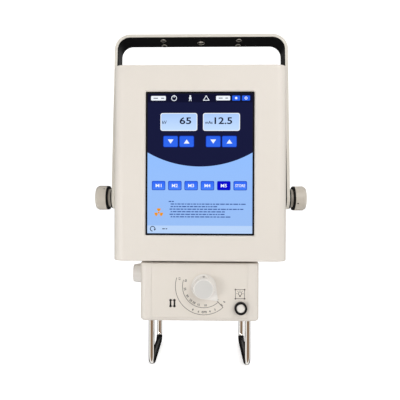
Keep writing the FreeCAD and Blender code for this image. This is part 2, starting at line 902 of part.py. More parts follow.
def leaf_front():
    top = y_leaf_low + leaf_thickness
    edge = beam_y - leaf_start
    half = leaf_half + 2
    far = edge - leaf_length
    plate = box(-half, half, far, edge, y_leaf_low, top)
    tab = box(y_rack_low, -half, far, far + tab_width, y_leaf_low, top)
    arm = box(y_rack_low, y_rack_high, far, far + tab_width, y_leaf_low, side_dial_z + rack_back)
    return join([plate, tab, arm, y_rack(far, side_dial_y + leaf_travel + rack_spare, 1)])


def leaf_rear():
    top = y_leaf_low + leaf_thickness
    edge = beam_y + leaf_start
    half = leaf_half + 2
    far = edge + leaf_length
    plate = box(-half, half, edge, far, y_leaf_low, top)
    tab = box(y_rack_low, -half, far - tab_width, far, y_leaf_low, top)
    arm = box(y_rack_low, y_rack_high, far - tab_width, far, y_leaf_low,
              side_dial_z - pitch_radius - tooth_root)
    return join([plate, tab, arm, y_rack(side_dial_y - leaf_travel - rack_spare, far, -1)])


# Field dials, drawn about their own axis pointing along +Z and then turned into place

def dial_blank():
    """Round skirt with a teardrop pointer towards +X, and a conical grip on it."""
    reach = Vector(pointer_reach - nose_radius, 0, 0)
    touch = math.acos((skirt_radius - nose_radius) / reach.x)
    tangent = Vector(math.cos(touch), math.sin(touch), 0)
    upper = [tangent * skirt_radius, reach + tangent * nose_radius]
    lower = [Vector(point.x, -point.y, 0) for point in reversed(upper)]
    nose = [Part.LineSegment(upper[0], upper[1]).toShape(),
            Part.Arc(upper[1], Vector(pointer_reach, 0, 0), lower[0]).toShape(),
            Part.LineSegment(lower[0], lower[1]).toShape(),
            Part.LineSegment(lower[1], upper[0]).toShape()]
    pointer = Part.Face(Part.Wire(nose)).extrude(z_axis * skirt_height)
    disc = Part.makeCylinder(skirt_radius, skirt_height)
    grip_height = dial_height - moving_gap - skirt_height
    grip = Part.makeCone(grip_base, grip_radius, grip_height, Vector(0, 0, skirt_height))
    top = [edge for edge in grip.Edges if edge.BoundBox.ZMin > dial_height - moving_gap - 0.1]
    dial = join([pointer, disc, grip.makeFillet(0.8, top)])
    return dial.cut(Part.makeCylinder(spindle_radius + fixed_gap, 14, Vector(0, 0, -1)))


def front_dial():
    dial = dial_blank()
    dial.rotate(Vector(0, 0, 0), z_axis, pointer_angle)
    dial.rotate(Vector(0, 0, 0), x_axis, 90)
    dial.translate(Vector(dial_x, collimator_front - moving_gap, dial_z))
    return dial


def side_dial():
    dial = dial_blank()
    dial.rotate(Vector(0, 0, 0), z_axis, pointer_angle)
    dial.rotate(Vector(0, 0, 0), x_axis, 90)
    dial.rotate(Vector(0, 0, 0), z_axis, -90)
    dial.translate(Vector(-collimator_half - moving_gap, side_dial_y, side_dial_z))
    return dial


def front_spindle():
    shaft = bar("y", collimator_front - 12, x_rack_high + 3, (dial_x, dial_z), spindle_radius)
    return join([shaft, pinion(x_rack_low, x_rack_high, "y", (dial_x, dial_z))])


def side_spindle():
    shaft = bar("x", -collimator_half - 12, y_rack_high + 2, (side_dial_y, side_dial_z), spindle_radius)
    return join([shaft, pinion(y_rack_low, y_rack_high, "x", (side_dial_y, side_dial_z))])


# Lamp button

def button_bezel():
    middle = (button_x, button_z)
    flange = bar("y", collimator_front - bezel_reach, collimator_front, middle, bezel_radius)
    rim = [edge for edge in flange.Edges if edge.BoundBox.YMax < collimator_front - bezel_reach + 0.1]
    barrel = bar("y", collimator_front, collimator_front + barrel_depth, middle, barrel_radius)
    bezel = join([flange.makeFillet(0.7, rim), barrel])
    bore = bar("y", collimator_front - bezel_reach - 1, collimator_front + 5, middle, button_radius + moving_gap)
    return bezel.cut(bore)


def lamp_button():
    middle = (button_x, button_z)
    cap = bar("y", collimator_front - button_reach, collimator_front + 0.8, middle, button_radius)
    rim = [edge for edge in cap.Edges if edge.BoundBox.YMax < collimator_front - button_reach + 0.1]
    plunger = bar("y", collimator_front + 0.8, collimator_front + 6, middle, plunger_radius)
    return join([cap.makeFillet(0.8, rim), plunger])


def lamp_switch():
    middle = (button_x, button_z)
    front = collimator_front + barrel_depth
    return tube("y", front, front + 7.5, middle, barrel_radius, plunger_radius + 0.4)


# Guard bars

def guard_run(radius, x, start_z, end_z):
    """U-shaped round bar in a Y-Z plane, from start_z on the front leg to end_z on the back leg."""
    bend_z = guard_axis_z + guard_bend
    pieces = []
    for y, inward, leg_top in ((guard_front, 1, start_z), (guard_back, -1, end_z)):
        centre = Vector(x, y + inward * guard_bend, bend_z)
        circle = Part.Circle(Vector(x, y, bend_z), z_axis, radius).toShape()
        face = Part.Face(Part.Wire([circle]))
        pieces.append(face.revolve(centre, x_axis, 90 * inward))
        if leg_top > bend_z:
            pieces.append(bar("z", bend_z, leg_top, (x, y), radius))
    pieces.append(bar("y", guard_front + guard_bend, guard_back - guard_bend, (x, guard_axis_z), radius))
    return join(pieces)


def guard(side):
    return guard_run(guard_radius, sides[side] * guard_x, guard_top, guard_top)


def guard_sleeves():
    back = guard_back - guard_bend
    sleeves = []
    for side in sides.values():
        x = side * guard_x
        ring = tube("y", back, back + 1, (x, guard_axis_z), guard_radius + sleeve_wall, guard_radius + fixed_gap)
        end = [face for face in ring.Faces if face.BoundBox.YMax < back + 0.01][0]
        bend = end.revolve(Vector(x, back, guard_axis_z + guard_bend), x_axis, sleeve_turn)
        run = end.extrude(y_axis * (guard_front + guard_bend - back))
        sleeves.append(join([bend, run]))
    return group(sleeves)


def guard_nuts():
    nuts = []
    for x in (-guard_x, guard_x):
        for y in (guard_front, guard_back):
            low = collimator_bottom + wall
            corners = [Vector(x + nut_radius * math.cos(math.radians(60 * index)),
                              y + nut_radius * math.sin(math.radians(60 * index)), low) for index in range(6)]
            nut = prism(corners, z_axis * nut_height)
            nuts.append(nut.cut(bar("z", low - 1, low + nut_height + 1, (x, y), guard_radius + fixed_gap)))
    return group(nuts)


nodes = {
    "front_cover": front_cover, "rear_cover": rear_cover, "cover_screws": cover_screws,
    "rear_feet": rear_feet, "touch_glass": touch_glass, "lcd_panel": lcd_panel,
    "screen_bracket": screen_bracket, "control_board": control_board, "chassis_frame": chassis_frame,
    "tank_housing": tank_housing, "tank_lid": tank_lid, "tube_envelope": tube_envelope,
    "tube_electrodes": tube_electrodes, "hv_transformer": hv_transformer, "inverter_board": inverter_board,
    "capacitor_bank": capacitor_bank, "fan_frame": fan_frame, "fan_rotor": fan_rotor,
    "fan_grille": fan_grille, "power_inlet": power_inlet, "switch_frame": switch_frame,
    "power_rocker": power_rocker, "handswitch_socket": handswitch_socket, "pivot_bosses": pivot_bosses,
    "pivot_studs": pivot_studs, "friction_washers": friction_washers, "yoke_bar": yoke_bar,
    "yoke_liner": yoke_liner, "yoke_washers": yoke_washers, "port_flange": port_flange,
    "retaining_ring": retaining_ring, "swivel_bearing": swivel_bearing,
    "collimator_housing": collimator_housing, "collimator_base": collimator_base,
    "front_panel": front_panel, "exit_window": exit_window, "beam_mirror": beam_mirror,
    "lamp_board": lamp_board, "shutter_frame": shutter_frame, "leaf_left": leaf_left,
    "leaf_right": leaf_right, "leaf_front": leaf_front, "leaf_rear": leaf_rear,
    "front_dial": front_dial, "side_dial": side_dial, "front_spindle": front_spindle,
    "side_spindle": side_spindle, "button_bezel": button_bezel, "lamp_button": lamp_button,
    "lamp_switch": lamp_switch, "guard_sleeves": guard_sleeves, "guard_nuts": guard_nuts,
}

os.makedirs("parts", exist_ok=True)
shapes = {name: make() for name, make in nodes.items()}
for side in sides:
    shapes[side + "_clamp_knob"] = clamp_knob(side)
    shapes[side + "_knob_ring"] = knob_ring(side)
    shapes[side + "_set_screw"] = set_screw(side)
    shapes[side + "_guard"] = guard(side)

for name, shape in shapes.items():
    shape.exportStep("parts/" + name + ".step")
    limits = shape.BoundBox
    print("%-20s solids %d valid %s volume %.0f  X %.1f %.1f  Y %.1f %.1f  Z %.1f %.1f" % (
        name, len(shape.Solids), shape.isValid(), shape.Volume, limits.XMin, limits.XMax,
        limits.YMin, limits.YMax, limits.ZMin, limits.ZMax))
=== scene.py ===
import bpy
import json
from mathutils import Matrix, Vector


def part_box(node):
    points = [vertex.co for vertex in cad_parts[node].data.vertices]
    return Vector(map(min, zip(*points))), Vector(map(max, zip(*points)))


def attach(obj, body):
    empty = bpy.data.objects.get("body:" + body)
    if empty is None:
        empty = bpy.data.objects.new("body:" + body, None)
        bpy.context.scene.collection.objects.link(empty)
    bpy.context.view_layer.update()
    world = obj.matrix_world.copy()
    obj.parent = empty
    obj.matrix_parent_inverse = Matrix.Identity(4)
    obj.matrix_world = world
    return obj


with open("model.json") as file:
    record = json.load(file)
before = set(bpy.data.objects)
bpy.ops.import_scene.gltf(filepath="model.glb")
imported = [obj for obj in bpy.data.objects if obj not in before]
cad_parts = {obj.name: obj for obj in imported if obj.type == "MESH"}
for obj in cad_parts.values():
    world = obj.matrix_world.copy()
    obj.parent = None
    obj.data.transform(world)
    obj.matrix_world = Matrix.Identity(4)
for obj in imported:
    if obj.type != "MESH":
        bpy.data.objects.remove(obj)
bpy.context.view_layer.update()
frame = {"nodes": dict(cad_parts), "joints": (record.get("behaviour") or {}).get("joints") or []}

import json
import math
import random

import bmesh
import bpy
from mathutils import Vector

mm = 0.001
nodes = frame["nodes"]
random.seed(7)
print("frame loaded,", len(nodes), "nodes")


def middleOf(name):
    low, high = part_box(name)
    return (Vector(low) + Vector(high)) / 2


# camera first, level with the lower half of the body and almost square to the screen

cameraSet = {
    "distance": 640 * mm, "side": 8 * mm, "height": 260.2 * mm, "lens": 38.25, "sensor": 36.0,
    "yaw": 1.35, "roll": -0.2, "shift": 0.0125, "nearest": 0.01, "farthest": 60,
}


def makeCamera(values):
    data = bpy.data.cameras.new("camera")
    data.lens = values["lens"]
    data.sensor_width = values["sensor"]
    data.shift_x = values["shift"]
    data.clip_start = values["nearest"]
    data.clip_end = values["farthest"]
    camera = bpy.data.objects.new("camera", data)
    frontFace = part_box("front_cover")[0][1]
    camera.location = (values["side"], frontFace - values["distance"], values["height"])
    camera.rotation_euler = (math.radians(90), math.radians(values["roll"]), math.radians(values["yaw"]))
    bpy.context.scene.collection.objects.link(camera)
    bpy.context.scene.camera = camera


makeCamera(cameraSet)
print("camera ready")


# shader groups, each built once

def newGroup(name, inputs, outputs):
    group = bpy.data.node_groups.new(name, "ShaderNodeTree")
    for label, kind, value in inputs:
        socket = group.interface.new_socket(name=label, in_out="INPUT", socket_type=kind)
        socket.default_value = value
    for label, kind in outputs:
        group.interface.new_socket(name=label, in_out="OUTPUT", socket_type=kind)
    start = group.nodes.new("NodeGroupInput")
    end = group.nodes.new("NodeGroupOutput")
    return group, start.outputs, end.inputs


def addNode(tree, kind, settings=None, values=None):
    node = tree.nodes.new(kind)
    for key, value in (settings or {}).items():
        setattr(node, key, value)
    for key, value in (values or {}).items():
        node.inputs[key].default_value = value
    return node


# a number or a colour is set on the socket, anything else is linked to it
def feed(tree, value, socket):
    if isinstance(value, (int, float, tuple)):
        socket.default_value = value
    else:
        tree.links.new(value, socket)


def objectPlace(tree):
    return addNode(tree, "ShaderNodeTexCoord").outputs["Object"]


def noiseNode(tree, vector, size, detail=3.0, rough=0.5):
    node = addNode(tree, "ShaderNodeTexNoise", None, {"Detail": detail, "Roughness": rough})
    tree.links.new(vector, node.inputs["Vector"])
    feed(tree, size, node.inputs["Scale"])
    return node.outputs["Fac"]


def mathNode(tree, operation, a, b=None, clamp=False):
    node = addNode(tree, "ShaderNodeMath", {"operation": operation, "use_clamp": clamp})
    feed(tree, a, node.inputs[0])
    if b is not None:
        feed(tree, b, node.inputs[1])
    return node.outputs[0]


def mixColour(tree, factor, a, b):
    node = addNode(tree, "ShaderNodeMix", {"data_type": "RGBA"})
    tree.links.new(factor, node.inputs[0])
    feed(tree, a, node.inputs[6])
    feed(tree, b, node.inputs[7])
    return node.outputs[2]


mottleSet = {"smearSize": 46.0, "coarseSize": 160.0, "coarseShare": 0.8}
wearSet = {"sharpness": 7.0, "breakStart": 0.38, "breakContrast": 3.4}
# size of the patches that break up the painted corner shade and dust
shadeDustPatchSize = 60.0


def buildMottle(values):
    # slow cloudy change of colour and gloss, and a fine skin of bumps
    inputs = [("Colour", "NodeSocketColor", (0.8, 0.8, 0.8, 1)),
              ("Shade", "NodeSocketColor", (0.7, 0.7, 0.7, 1)),
              ("Cloud Size", "NodeSocketFloat", 12.0), ("Cloud Amount", "NodeSocketFloat", 0.3),
              ("Roughness", "NodeSocketFloat", 0.4), ("Gloss Change", "NodeSocketFloat", 0.1),
              ("Grain Size", "NodeSocketFloat", 900.0)]
    outputs = [("Colour", "NodeSocketColor"), ("Roughness", "NodeSocketFloat"), ("Height", "NodeSocketFloat")]
    group, given, out = newGroup("mottle", inputs, outputs)
    place = objectPlace(group)
    cloud = noiseNode(group, place, given["Cloud Size"], 4.0, 0.55)
    factor = mathNode(group, "MULTIPLY", cloud, given["Cloud Amount"], True)
    group.links.new(mixColour(group, factor, given["Colour"], given["Shade"]), out["Colour"])
    smear = noiseNode(group, place, values["smearSize"], 5.0, 0.6)
    spread = mathNode(group, "MULTIPLY", mathNode(group, "SUBTRACT", smear, 0.5), given["Gloss Change"])
    group.links.new(mathNode(group, "ADD", given["Roughness"], spread, True), out["Roughness"])
    fine = noiseNode(group, place, given["Grain Size"], 2.0, 0.5)
    coarse = noiseNode(group, place, values["coarseSize"], 1.0, 0.4)
    swell = mathNode(group, "MULTIPLY", coarse, values["coarseShare"])
    group.links.new(mathNode(group, "ADD", fine, swell), out["Height"])
    return group


def buildEdgeWear(values):
    # thin broken line along the sharp edges
    inputs = [("Width", "NodeSocketFloat", 0.0008), ("Amount", "NodeSocketFloat", 0.5),
              ("Break Size", "NodeSocketFloat", 180.0)]
    group, given, out = newGroup("edgeWear", inputs, [("Mask", "NodeSocketFloat")])
    rounded = addNode(group, "ShaderNodeBevel", {"samples": 4})
    group.links.new(given["Width"], rounded.inputs["Radius"])
    real = addNode(group, "ShaderNodeNewGeometry").outputs["Normal"]
    dot = addNode(group, "ShaderNodeVectorMath", {"operation": "DOT_PRODUCT"})
    group.links.new(rounded.outputs["Normal"], dot.inputs[0])
    group.links.new(real, dot.inputs[1])
    turned = mathNode(group, "SUBTRACT", 1.0, dot.outputs["Value"], True)
    strong = mathNode(group, "MULTIPLY", turned, values["sharpness"], True)
    place = objectPlace(group)
    broken = noiseNode(group, place, given["Break Size"], 4.0, 0.6)
    above = mathNode(group, "SUBTRACT", broken, values["breakStart"], True)
    keep = mathNode(group, "MULTIPLY", above, values["breakContrast"], True)
    worn = mathNode(group, "MULTIPLY", strong, keep)
    group.links.new(mathNode(group, "MULTIPLY", worn, given["Amount"], True), out["Mask"])
    return group


def buildCornerShadeDust():
    # painted shade that darkens where faces meet, broken into patches and tinted like dust and hand dirt
    inputs = [("Reach", "NodeSocketFloat", 0.006), ("Amount", "NodeSocketFloat", 0.5)]
    group, given, out = newGroup("cornerShadeDust", inputs, [("Mask", "NodeSocketFloat")])
    near = addNode(group, "ShaderNodeAmbientOcclusion", {"samples": 4})
    group.links.new(given["Reach"], near.inputs["Distance"])
    hidden = mathNode(group, "SUBTRACT", 1.0, near.outputs["AO"], True)
    place = objectPlace(group)
    patchy = mathNode(group, "MULTIPLY", hidden, noiseNode(group, place, shadeDustPatchSize, 4.0, 0.6))
    group.links.new(mathNode(group, "MULTIPLY", patchy, given["Amount"], True), out["Mask"])
    return group


def buildBrushed():
    # drawn or brushed lines along one axis
    inputs = [("Stretch", "NodeSocketVector", (40.0, 40.0, 1500.0)), ("Roughness", "NodeSocketFloat", 0.3),
              ("Spread", "NodeSocketFloat", 0.2)]
    outputs = [("Roughness", "NodeSocketFloat"), ("Height", "NodeSocketFloat"), ("Tone", "NodeSocketFloat")]
    group, given, out = newGroup("brushedLines", inputs, outputs)
    place = objectPlace(group)
    scale = addNode(group, "ShaderNodeVectorMath", {"operation": "MULTIPLY"})
    group.links.new(place, scale.inputs[0])
    group.links.new(given["Stretch"], scale.inputs[1])
    lines = noiseNode(group, scale.outputs[0], 1.0, 4.0, 0.6)
    spread = mathNode(group, "MULTIPLY", mathNode(group, "SUBTRACT", lines, 0.5), given["Spread"])
    group.links.new(mathNode(group, "ADD", given["Roughness"], spread, True), out["Roughness"])
    group.links.new(lines, out["Height"])
    group.links.new(lines, out["Tone"])
    return group


mottle = buildMottle(mottleSet)
edgeWear = buildEdgeWear(wearSet)
cornerShadeDust = buildCornerShadeDust()
brushedLines = buildBrushed()


# materials

metalUsual = {"tone": 0.25, "bump": 0.08, "cloud": 30.0, "clouds": 0.6, "depth": 0.05 * mm}
# the reach and amount of the painted corner shade with dust are among these
paintUsual = {
    "specular": 0.5, "cloud": 11.0, "clouds": 0.5, "gloss": 0.12, "grain": 900.0, "bump": 0.12,
    "depth": 0.12 * mm, "edge": 0.8 * mm, "wear": 0.4, "reach": 5 * mm, "shadeDust": 0.4, "coatRough": 0.12,
}


def placeGroup(tree, group, values):
    return addNode(tree, "ShaderNodeGroup", {"node_tree": group}, values)


def startMaterial(name, fixed):
    material = bpy.data.materials.new(name)
    material.use_nodes = True
    tree = material.node_tree
    shader = tree.nodes["Principled BSDF"]
    for key, value in fixed.items():
        shader.inputs[key].default_value = value
    return material, tree, shader.inputs


def addBump(tree, height, sockets, strength, distance):
    bump = addNode(tree, "ShaderNodeBump", None, {"Strength": strength, "Distance": distance})
    tree.links.new(height, bump.inputs["Height"])
    tree.links.new(bump.outputs["Normal"], sockets["Normal"])


def metal(name, own):
    values = {**metalUsual, **own}
    material, tree, sockets = startMaterial(name, {"Metallic": 1.0})
    lines = placeGroup(tree, brushedLines, {"Stretch": values["stretch"], "Roughness": values["rough"],
                                            "Spread": values["spread"]})
    skin = placeGroup(tree, mottle, {"Colour": values["colour"], "Shade": values["shade"],
                                     "Cloud Size": values["cloud"], "Cloud Amount": values["clouds"]})
    streaks = mathNode(tree, "MULTIPLY", lines.outputs["Tone"], values["tone"], True)
    tree.links.new(mixColour(tree, streaks, skin.outputs["Colour"], values["shade"]), sockets["Base Color"])
    tree.links.new(lines.outputs["Roughness"], sockets["Roughness"])
    addBump(tree, lines.outputs["Height"], sockets, values["bump"], values["depth"])
    return material


# paint or moulded plastic: mottled colour, grain, worn edges and a little dust with painted shade in the corners
def coated(name, own):
    values = {**paintUsual, **own}
    fixed = {"Specular IOR Level": values["specular"], "Metallic": 0.0}
    if "coat" in values:
        fixed["Coat Weight"] = values["coat"]
        fixed["Coat Roughness"] = values["coatRough"]
    material, tree, sockets = startMaterial(name, fixed)
    skin = placeGroup(tree, mottle, {"Colour": values["colour"], "Shade": values["shade"],
                                     "Cloud Size": values["cloud"], "Cloud Amount": values["clouds"],
                                     "Roughness": values["rough"], "Gloss Change": values["gloss"],
                                     "Grain Size": values["grain"]})
    wear = placeGroup(tree, edgeWear, {"Width": values["edge"], "Amount": values["wear"]})
    # painted shade: an occlusion mask darkens the corners towards the dust and dirt colour
    shadeDust = placeGroup(tree, cornerShadeDust, {"Reach": values["reach"], "Amount": values["shadeDust"]})
    worn = mixColour(tree, wear.outputs["Mask"], skin.outputs["Colour"], values["bare"])
    shadedDirty = mixColour(tree, shadeDust.outputs["Mask"], worn, values["shadeDirt"])
    tree.links.new(shadedDirty, sockets["Base Color"])
    tree.links.new(skin.outputs["Roughness"], sockets["Roughness"])
    addBump(tree, skin.outputs["Height"], sockets, values["bump"], values["depth"])
    return material


def shade(colour, factor):
    return (colour[0] * factor, colour[1] * factor, colour[2] * factor, 1)


# each material's darker corner colour below is painted shade tinted like dust and dirt
cream = (0.80, 0.745, 0.675, 1)
creamPaint = coated("creamPaint", {
    "colour": cream, "shade": shade(cream, 0.955), "bare": (0.95, 0.93, 0.89, 1),
    "shadeDirt": (0.42, 0.37, 0.30, 1), "rough": 0.42, "bump": 0.10, "shadeDust": 0.3
})
yokePaint = coated("yokePaint", {
    "colour": (0.76, 0.725, 0.65, 1), "shade": (0.70, 0.665, 0.585, 1),
    "bare": (0.95, 0.93, 0.88, 1), "shadeDirt": (0.35, 0.31, 0.26, 1), "rough": 0.36,
    "bump": 0.10, "wear": 0.5, "shadeDust": 0.4
})
panelPaint = coated("panelPaint", {
    "colour": (0.80, 0.745, 0.67, 1), "shade": (0.765, 0.71, 0.64, 1),
    "bare": (0.90, 0.87, 0.82, 1), "shadeDirt": (0.45, 0.40, 0.34, 1), "rough": 0.34,
    "bump": 0.06, "grain": 1500.0, "shadeDust": 0.3
})
knobPaint = coated("knobPaint", {
    "colour": (0.65, 0.60, 0.525, 1), "shade": (0.56, 0.51, 0.44, 1),
    "bare": (0.90, 0.87, 0.82, 1), "shadeDirt": (0.25, 0.22, 0.18, 1), "rough": 0.30,
    "bump": 0.08, "wear": 0.7, "shadeDust": 0.3
})
dialPlastic = coated("dialPlastic", {
    "colour": (0.87, 0.84, 0.80, 1), "shade": (0.84, 0.81, 0.77, 1),
    "bare": (0.94, 0.93, 0.91, 1), "shadeDirt": (0.60, 0.57, 0.53, 1), "rough": 0.28,
    "bump": 0.06, "grain": 1600.0, "wear": 0.5, "shadeDust": 0.2
})
dialGrey = coated("dialGrey", {
    "colour": (0.69, 0.675, 0.645, 1), "shade": (0.65, 0.635, 0.605, 1),
    "bare": (0.85, 0.85, 0.83, 1), "shadeDirt": (0.35, 0.33, 0.30, 1), "rough": 0.38,
    "bump": 0.06, "grain": 1600.0, "wear": 0.3, "shadeDust": 0.2
})
capPlastic = coated("capPlastic", {
    "colour": (0.90, 0.865, 0.80, 1), "shade": (0.86, 0.82, 0.76, 1),
    "bare": (0.9, 0.9, 0.88, 1), "shadeDirt": (0.40, 0.37, 0.33, 1), "rough": 0.22,
    "bump": 0.04, "coat": 0.4
})
blackTrim = coated("blackTrim", {
    "colour": (0.006, 0.006, 0.007, 1), "shade": (0.012, 0.012, 0.013, 1),
    "bare": (0.05, 0.05, 0.05, 1), "shadeDirt": (0.04, 0.037, 0.033, 1), "rough": 0.38,
    "grain": 1300.0, "bump": 0.2, "specular": 0.22
})
linerRubber = coated("linerRubber", {
    "colour": (0.005, 0.0052, 0.006, 1), "shade": (0.009, 0.0092, 0.010, 1),
    "bare": (0.03, 0.03, 0.03, 1), "shadeDirt": (0.022, 0.021, 0.02, 1), "rough": 0.6,
    "grain": 700.0, "bump": 0.25, "gloss": 0.2, "specular": 0.07
})
# black coating on the guards' bottom bars; its near-black colour also stands in for the dark reflection of the
# chrome bars, a painted reflection
sleeveBlackReflection = coated("sleeveBlackReflection", {
    "colour": (0.006, 0.006, 0.007, 1), "shade": (0.013, 0.013, 0.014, 1),
    "bare": (0.05, 0.05, 0.05, 1), "shadeDirt": (0.02, 0.02, 0.018, 1), "rough": 0.22,
    "grain": 500.0, "bump": 0.15, "gloss": 0.2, "specular": 0.10
})
ringRubber = coated("ringRubber", {
    "colour": (0.005, 0.005, 0.0055, 1), "shade": (0.009, 0.009, 0.009, 1),
    "bare": (0.03, 0.03, 0.03, 1), "shadeDirt": (0.025, 0.024, 0.022, 1), "rough": 0.6,
    "grain": 1000.0, "bump": 0.25, "specular": 0.07
})
blackOxide = metal("blackOxide", {
    "colour": (0.008, 0.008, 0.009, 1), "shade": (0.005, 0.005, 0.005, 1),
    "rough": 0.6, "spread": 0.2, "stretch": (800.0, 800.0, 800.0)
})
boardResin = coated("boardResin", {
    "colour": (0.02, 0.16, 0.07, 1), "shade": (0.03, 0.22, 0.10, 1),
    "bare": (0.5, 0.42, 0.2, 1), "shadeDirt": (0.02, 0.05, 0.03, 1), "rough": 0.35
})
canSleeve = coated("canSleeve", {
    "colour": (0.02, 0.03, 0.12, 1), "shade": (0.03, 0.04, 0.16, 1),
    "bare": (0.3, 0.3, 0.34, 1), "shadeDirt": (0.05, 0.05, 0.07, 1), "rough": 0.25
})
chromePlate = metal("chromePlate", {
    "colour": (0.88, 0.855, 0.82, 1), "shade": (0.80, 0.76, 0.70, 1), "rough": 0.07,
    "spread": 0.06, "stretch": (220.0, 220.0, 30.0), "tone": 0.3, "bump": 0.02
})
turnedSteel = metal("turnedSteel", {
    "colour": (0.60, 0.60, 0.61, 1), "shade": (0.45, 0.45, 0.46, 1), "rough": 0.28,
    "spread": 0.2, "stretch": (1500.0, 60.0, 60.0)
})
sheetMetal = metal("sheetMetal", {
    "colour": (0.72, 0.73, 0.74, 1), "shade": (0.60, 0.61, 0.62, 1), "rough": 0.35,
    "spread": 0.25, "stretch": (30.0, 30.0, 900.0)
})
castMetal = metal("castMetal", {
    "colour": (0.55, 0.56, 0.57, 1), "shade": (0.40, 0.41, 0.42, 1), "rough": 0.5,
    "spread": 0.3, "stretch": (300.0, 300.0, 300.0)
})
copperMetal = metal("copperMetal", {
    "colour": (0.80, 0.45, 0.30, 1), "shade": (0.60, 0.32, 0.20, 1), "rough": 0.3,
    "spread": 0.2, "stretch": (60.0, 800.0, 800.0)
})
brightZinc = metal("brightZinc", {
    "colour": (0.92, 0.91, 0.87, 1), "shade": (0.80, 0.79, 0.74, 1), "rough": 0.32,
    "spread": 0.15, "stretch": (300.0, 300.0, 300.0)
})
ironCore = metal("ironCore", {
    "colour": (0.22, 0.20, 0.19, 1), "shade": (0.14, 0.13, 0.12, 1), "rough": 0.6,
    "spread": 0.2, "stretch": (900.0, 20.0, 20.0)
})


def clearPlastic(name, colour, rough):
    fixed = {"Base Color": colour, "Transmission Weight": 1.0, "IOR": 1.49, "Metallic": 0.0}
    material, tree, sockets = startMaterial(name, fixed)
    skin = placeGroup(tree, mottle, {"Roughness": rough, "Gloss Change": 0.05, "Grain Size": 300.0})
    tree.links.new(skin.outputs["Roughness"], sockets["Roughness"])
    addBump(tree, skin.outputs["Height"], sockets, 0.02, 0.00003)
    return material


clearWindow = clearPlastic("clearWindow", (0.93, 0.95, 0.95, 1), 0.06)
tubeGlass = clearPlastic("tubeGlass", (0.85, 0.93, 0.92, 1), 0.04)


def mirrorMaterial():
    material, tree, sockets = startMaterial("mirrorFace", {"Metallic": 1.0})
    skin = placeGroup(tree, mottle, {"Colour": (0.93, 0.93, 0.92, 1), "Shade": (0.85, 0.86, 0.86, 1),
                                     "Roughness": 0.03, "Gloss Change": 0.03})
    tree.links.new(skin.outputs["Colour"], sockets["Base Color"])
    tree.links.new(skin.outputs["Roughness"], sockets["Roughness"])
    return material


mirrorFace = mirrorMaterial()
glassBlack = coated("glassBlack", {
    "colour": (0.008, 0.008, 0.010, 1), "shade": (0.012, 0.012, 0.016, 1),
    "bare": (0.05, 0.05, 0.06, 1), "shadeDirt": (0.03, 0.03, 0.03, 1), "rough": 0.10,
    "gloss": 0.08, "bump": 0.01, "wear": 0.2, "shadeDust": 0.1, "specular": 0.15
})

finishes = {
    "front_cover": creamPaint, "rear_cover": creamPaint, "pivot_bosses": creamPaint,
    "collimator_housing": creamPaint, "collimator_base": creamPaint, "front_panel": panelPaint,
    "yoke_bar": yokePaint, "yoke_liner": linerRubber, "yoke_washers": ringRubber, "friction_washers": ringRubber,
    "left_clamp_knob": knobPaint, "right_clamp_knob": knobPaint, "left_knob_ring": ringRubber,
    "right_knob_ring": ringRubber, "left_set_screw": blackOxide, "right_set_screw": blackOxide,
    "pivot_studs": turnedSteel, "cover_screws": turnedSteel, "rear_feet": linerRubber,
    "touch_glass": glassBlack, "lcd_panel": sheetMetal, "screen_bracket": sheetMetal,
    "control_board": boardResin, "inverter_board": boardResin, "lamp_board": boardResin,
    "chassis_frame": sheetMetal, "tank_housing": castMetal, "tank_lid": castMetal, "tube_envelope": tubeGlass,
    "tube_electrodes": copperMetal, "hv_transformer": ironCore, "capacitor_bank": canSleeve,
    "fan_frame": blackTrim, "fan_rotor": blackTrim, "fan_grille": turnedSteel, "power_inlet": blackTrim,
    "switch_frame": blackTrim, "power_rocker": blackTrim, "handswitch_socket": blackTrim,
    "port_flange": sheetMetal, "retaining_ring": turnedSteel, "swivel_bearing": blackTrim,
    "exit_window": clearWindow, "beam_mirror": mirrorFace, "shutter_frame": sheetMetal,
    "leaf_left": turnedSteel, "leaf_right": turnedSteel, "leaf_front": turnedSteel, "leaf_rear": turnedSteel,
    "front_dial": dialPlastic, "side_dial": dialPlastic, "front_spindle": turnedSteel,
    "side_spindle": turnedSteel, "button_bezel": blackTrim, "lamp_button": capPlastic, "lamp_switch": blackTrim,
    "guard_sleeves": sleeveBlackReflection, "guard_nuts": turnedSteel, "left_guard": chromePlate,
    "right_guard": chromePlate,
}

for name, material in finishes.items():
    slots = nodes[name].material_slots
    if not slots:
        nodes[name].data.materials.append(material)
    for slot in slots:
        slot.material = material
print("frame materials assigned")


# flat work: outlines in the X-Z plane, in metres, built up as thin raised layers

def roundRect(x, z, width, height, radius, steps=6):
    outline = []
    for cx, cz, start in ((1, 1, 0), (-1, 1, 90), (-1, -1, 180), (1, -1, 270)):
        for step in range(steps + 1):
            angle = math.radians(start + 90 * step / steps)
            outline.append((x + cx * (width / 2 - radius) + radius * math.cos(angle),
                            z + cz * (height / 2 - radius) + radius * math.sin(angle)))
    return outline


def disc(x, z, radius, steps=24):
    turn = 2 * math.pi / steps
    return [(x + radius * math.cos(turn * step), z + radius * math.sin(turn * step)) for step in range(steps)]


def arcBand(x, z, inner, outer, start, end, steps=24):
    angles = [math.radians(start + (end - start) * step / steps) for step in range(steps + 1)]
    outline = [(x + outer * math.cos(angle), z + outer * math.sin(angle)) for angle in angles]
    outline += [(x + inner * math.cos(angle), z + inner * math.sin(angle)) for angle in reversed(angles)]
    return outline


def ring(x, z, inner, outer):
    return [arcBand(x, z, inner, outer, 0, 180, 14), arcBand(x, z, inner, outer, 180, 360, 14)]


def stroke(x0, z0, x1, z1, width):
    along = Vector((x1 - x0, z1 - z0))
    side = Vector((-along.y, along.x)).normalized() * width / 2
    return [(x0 + side.x, z0 + side.y), (x0 - side.x, z0 - side.y), (x1 - side.x, z1 - side.y),
            (x1 + side.x, z1 + side.y)]


def triangle(x, z, width, height, up):
    tip = height / 2 * up
    return [(x - width / 2, z - tip), (x + width / 2, z - tip), (x, z + tip)]


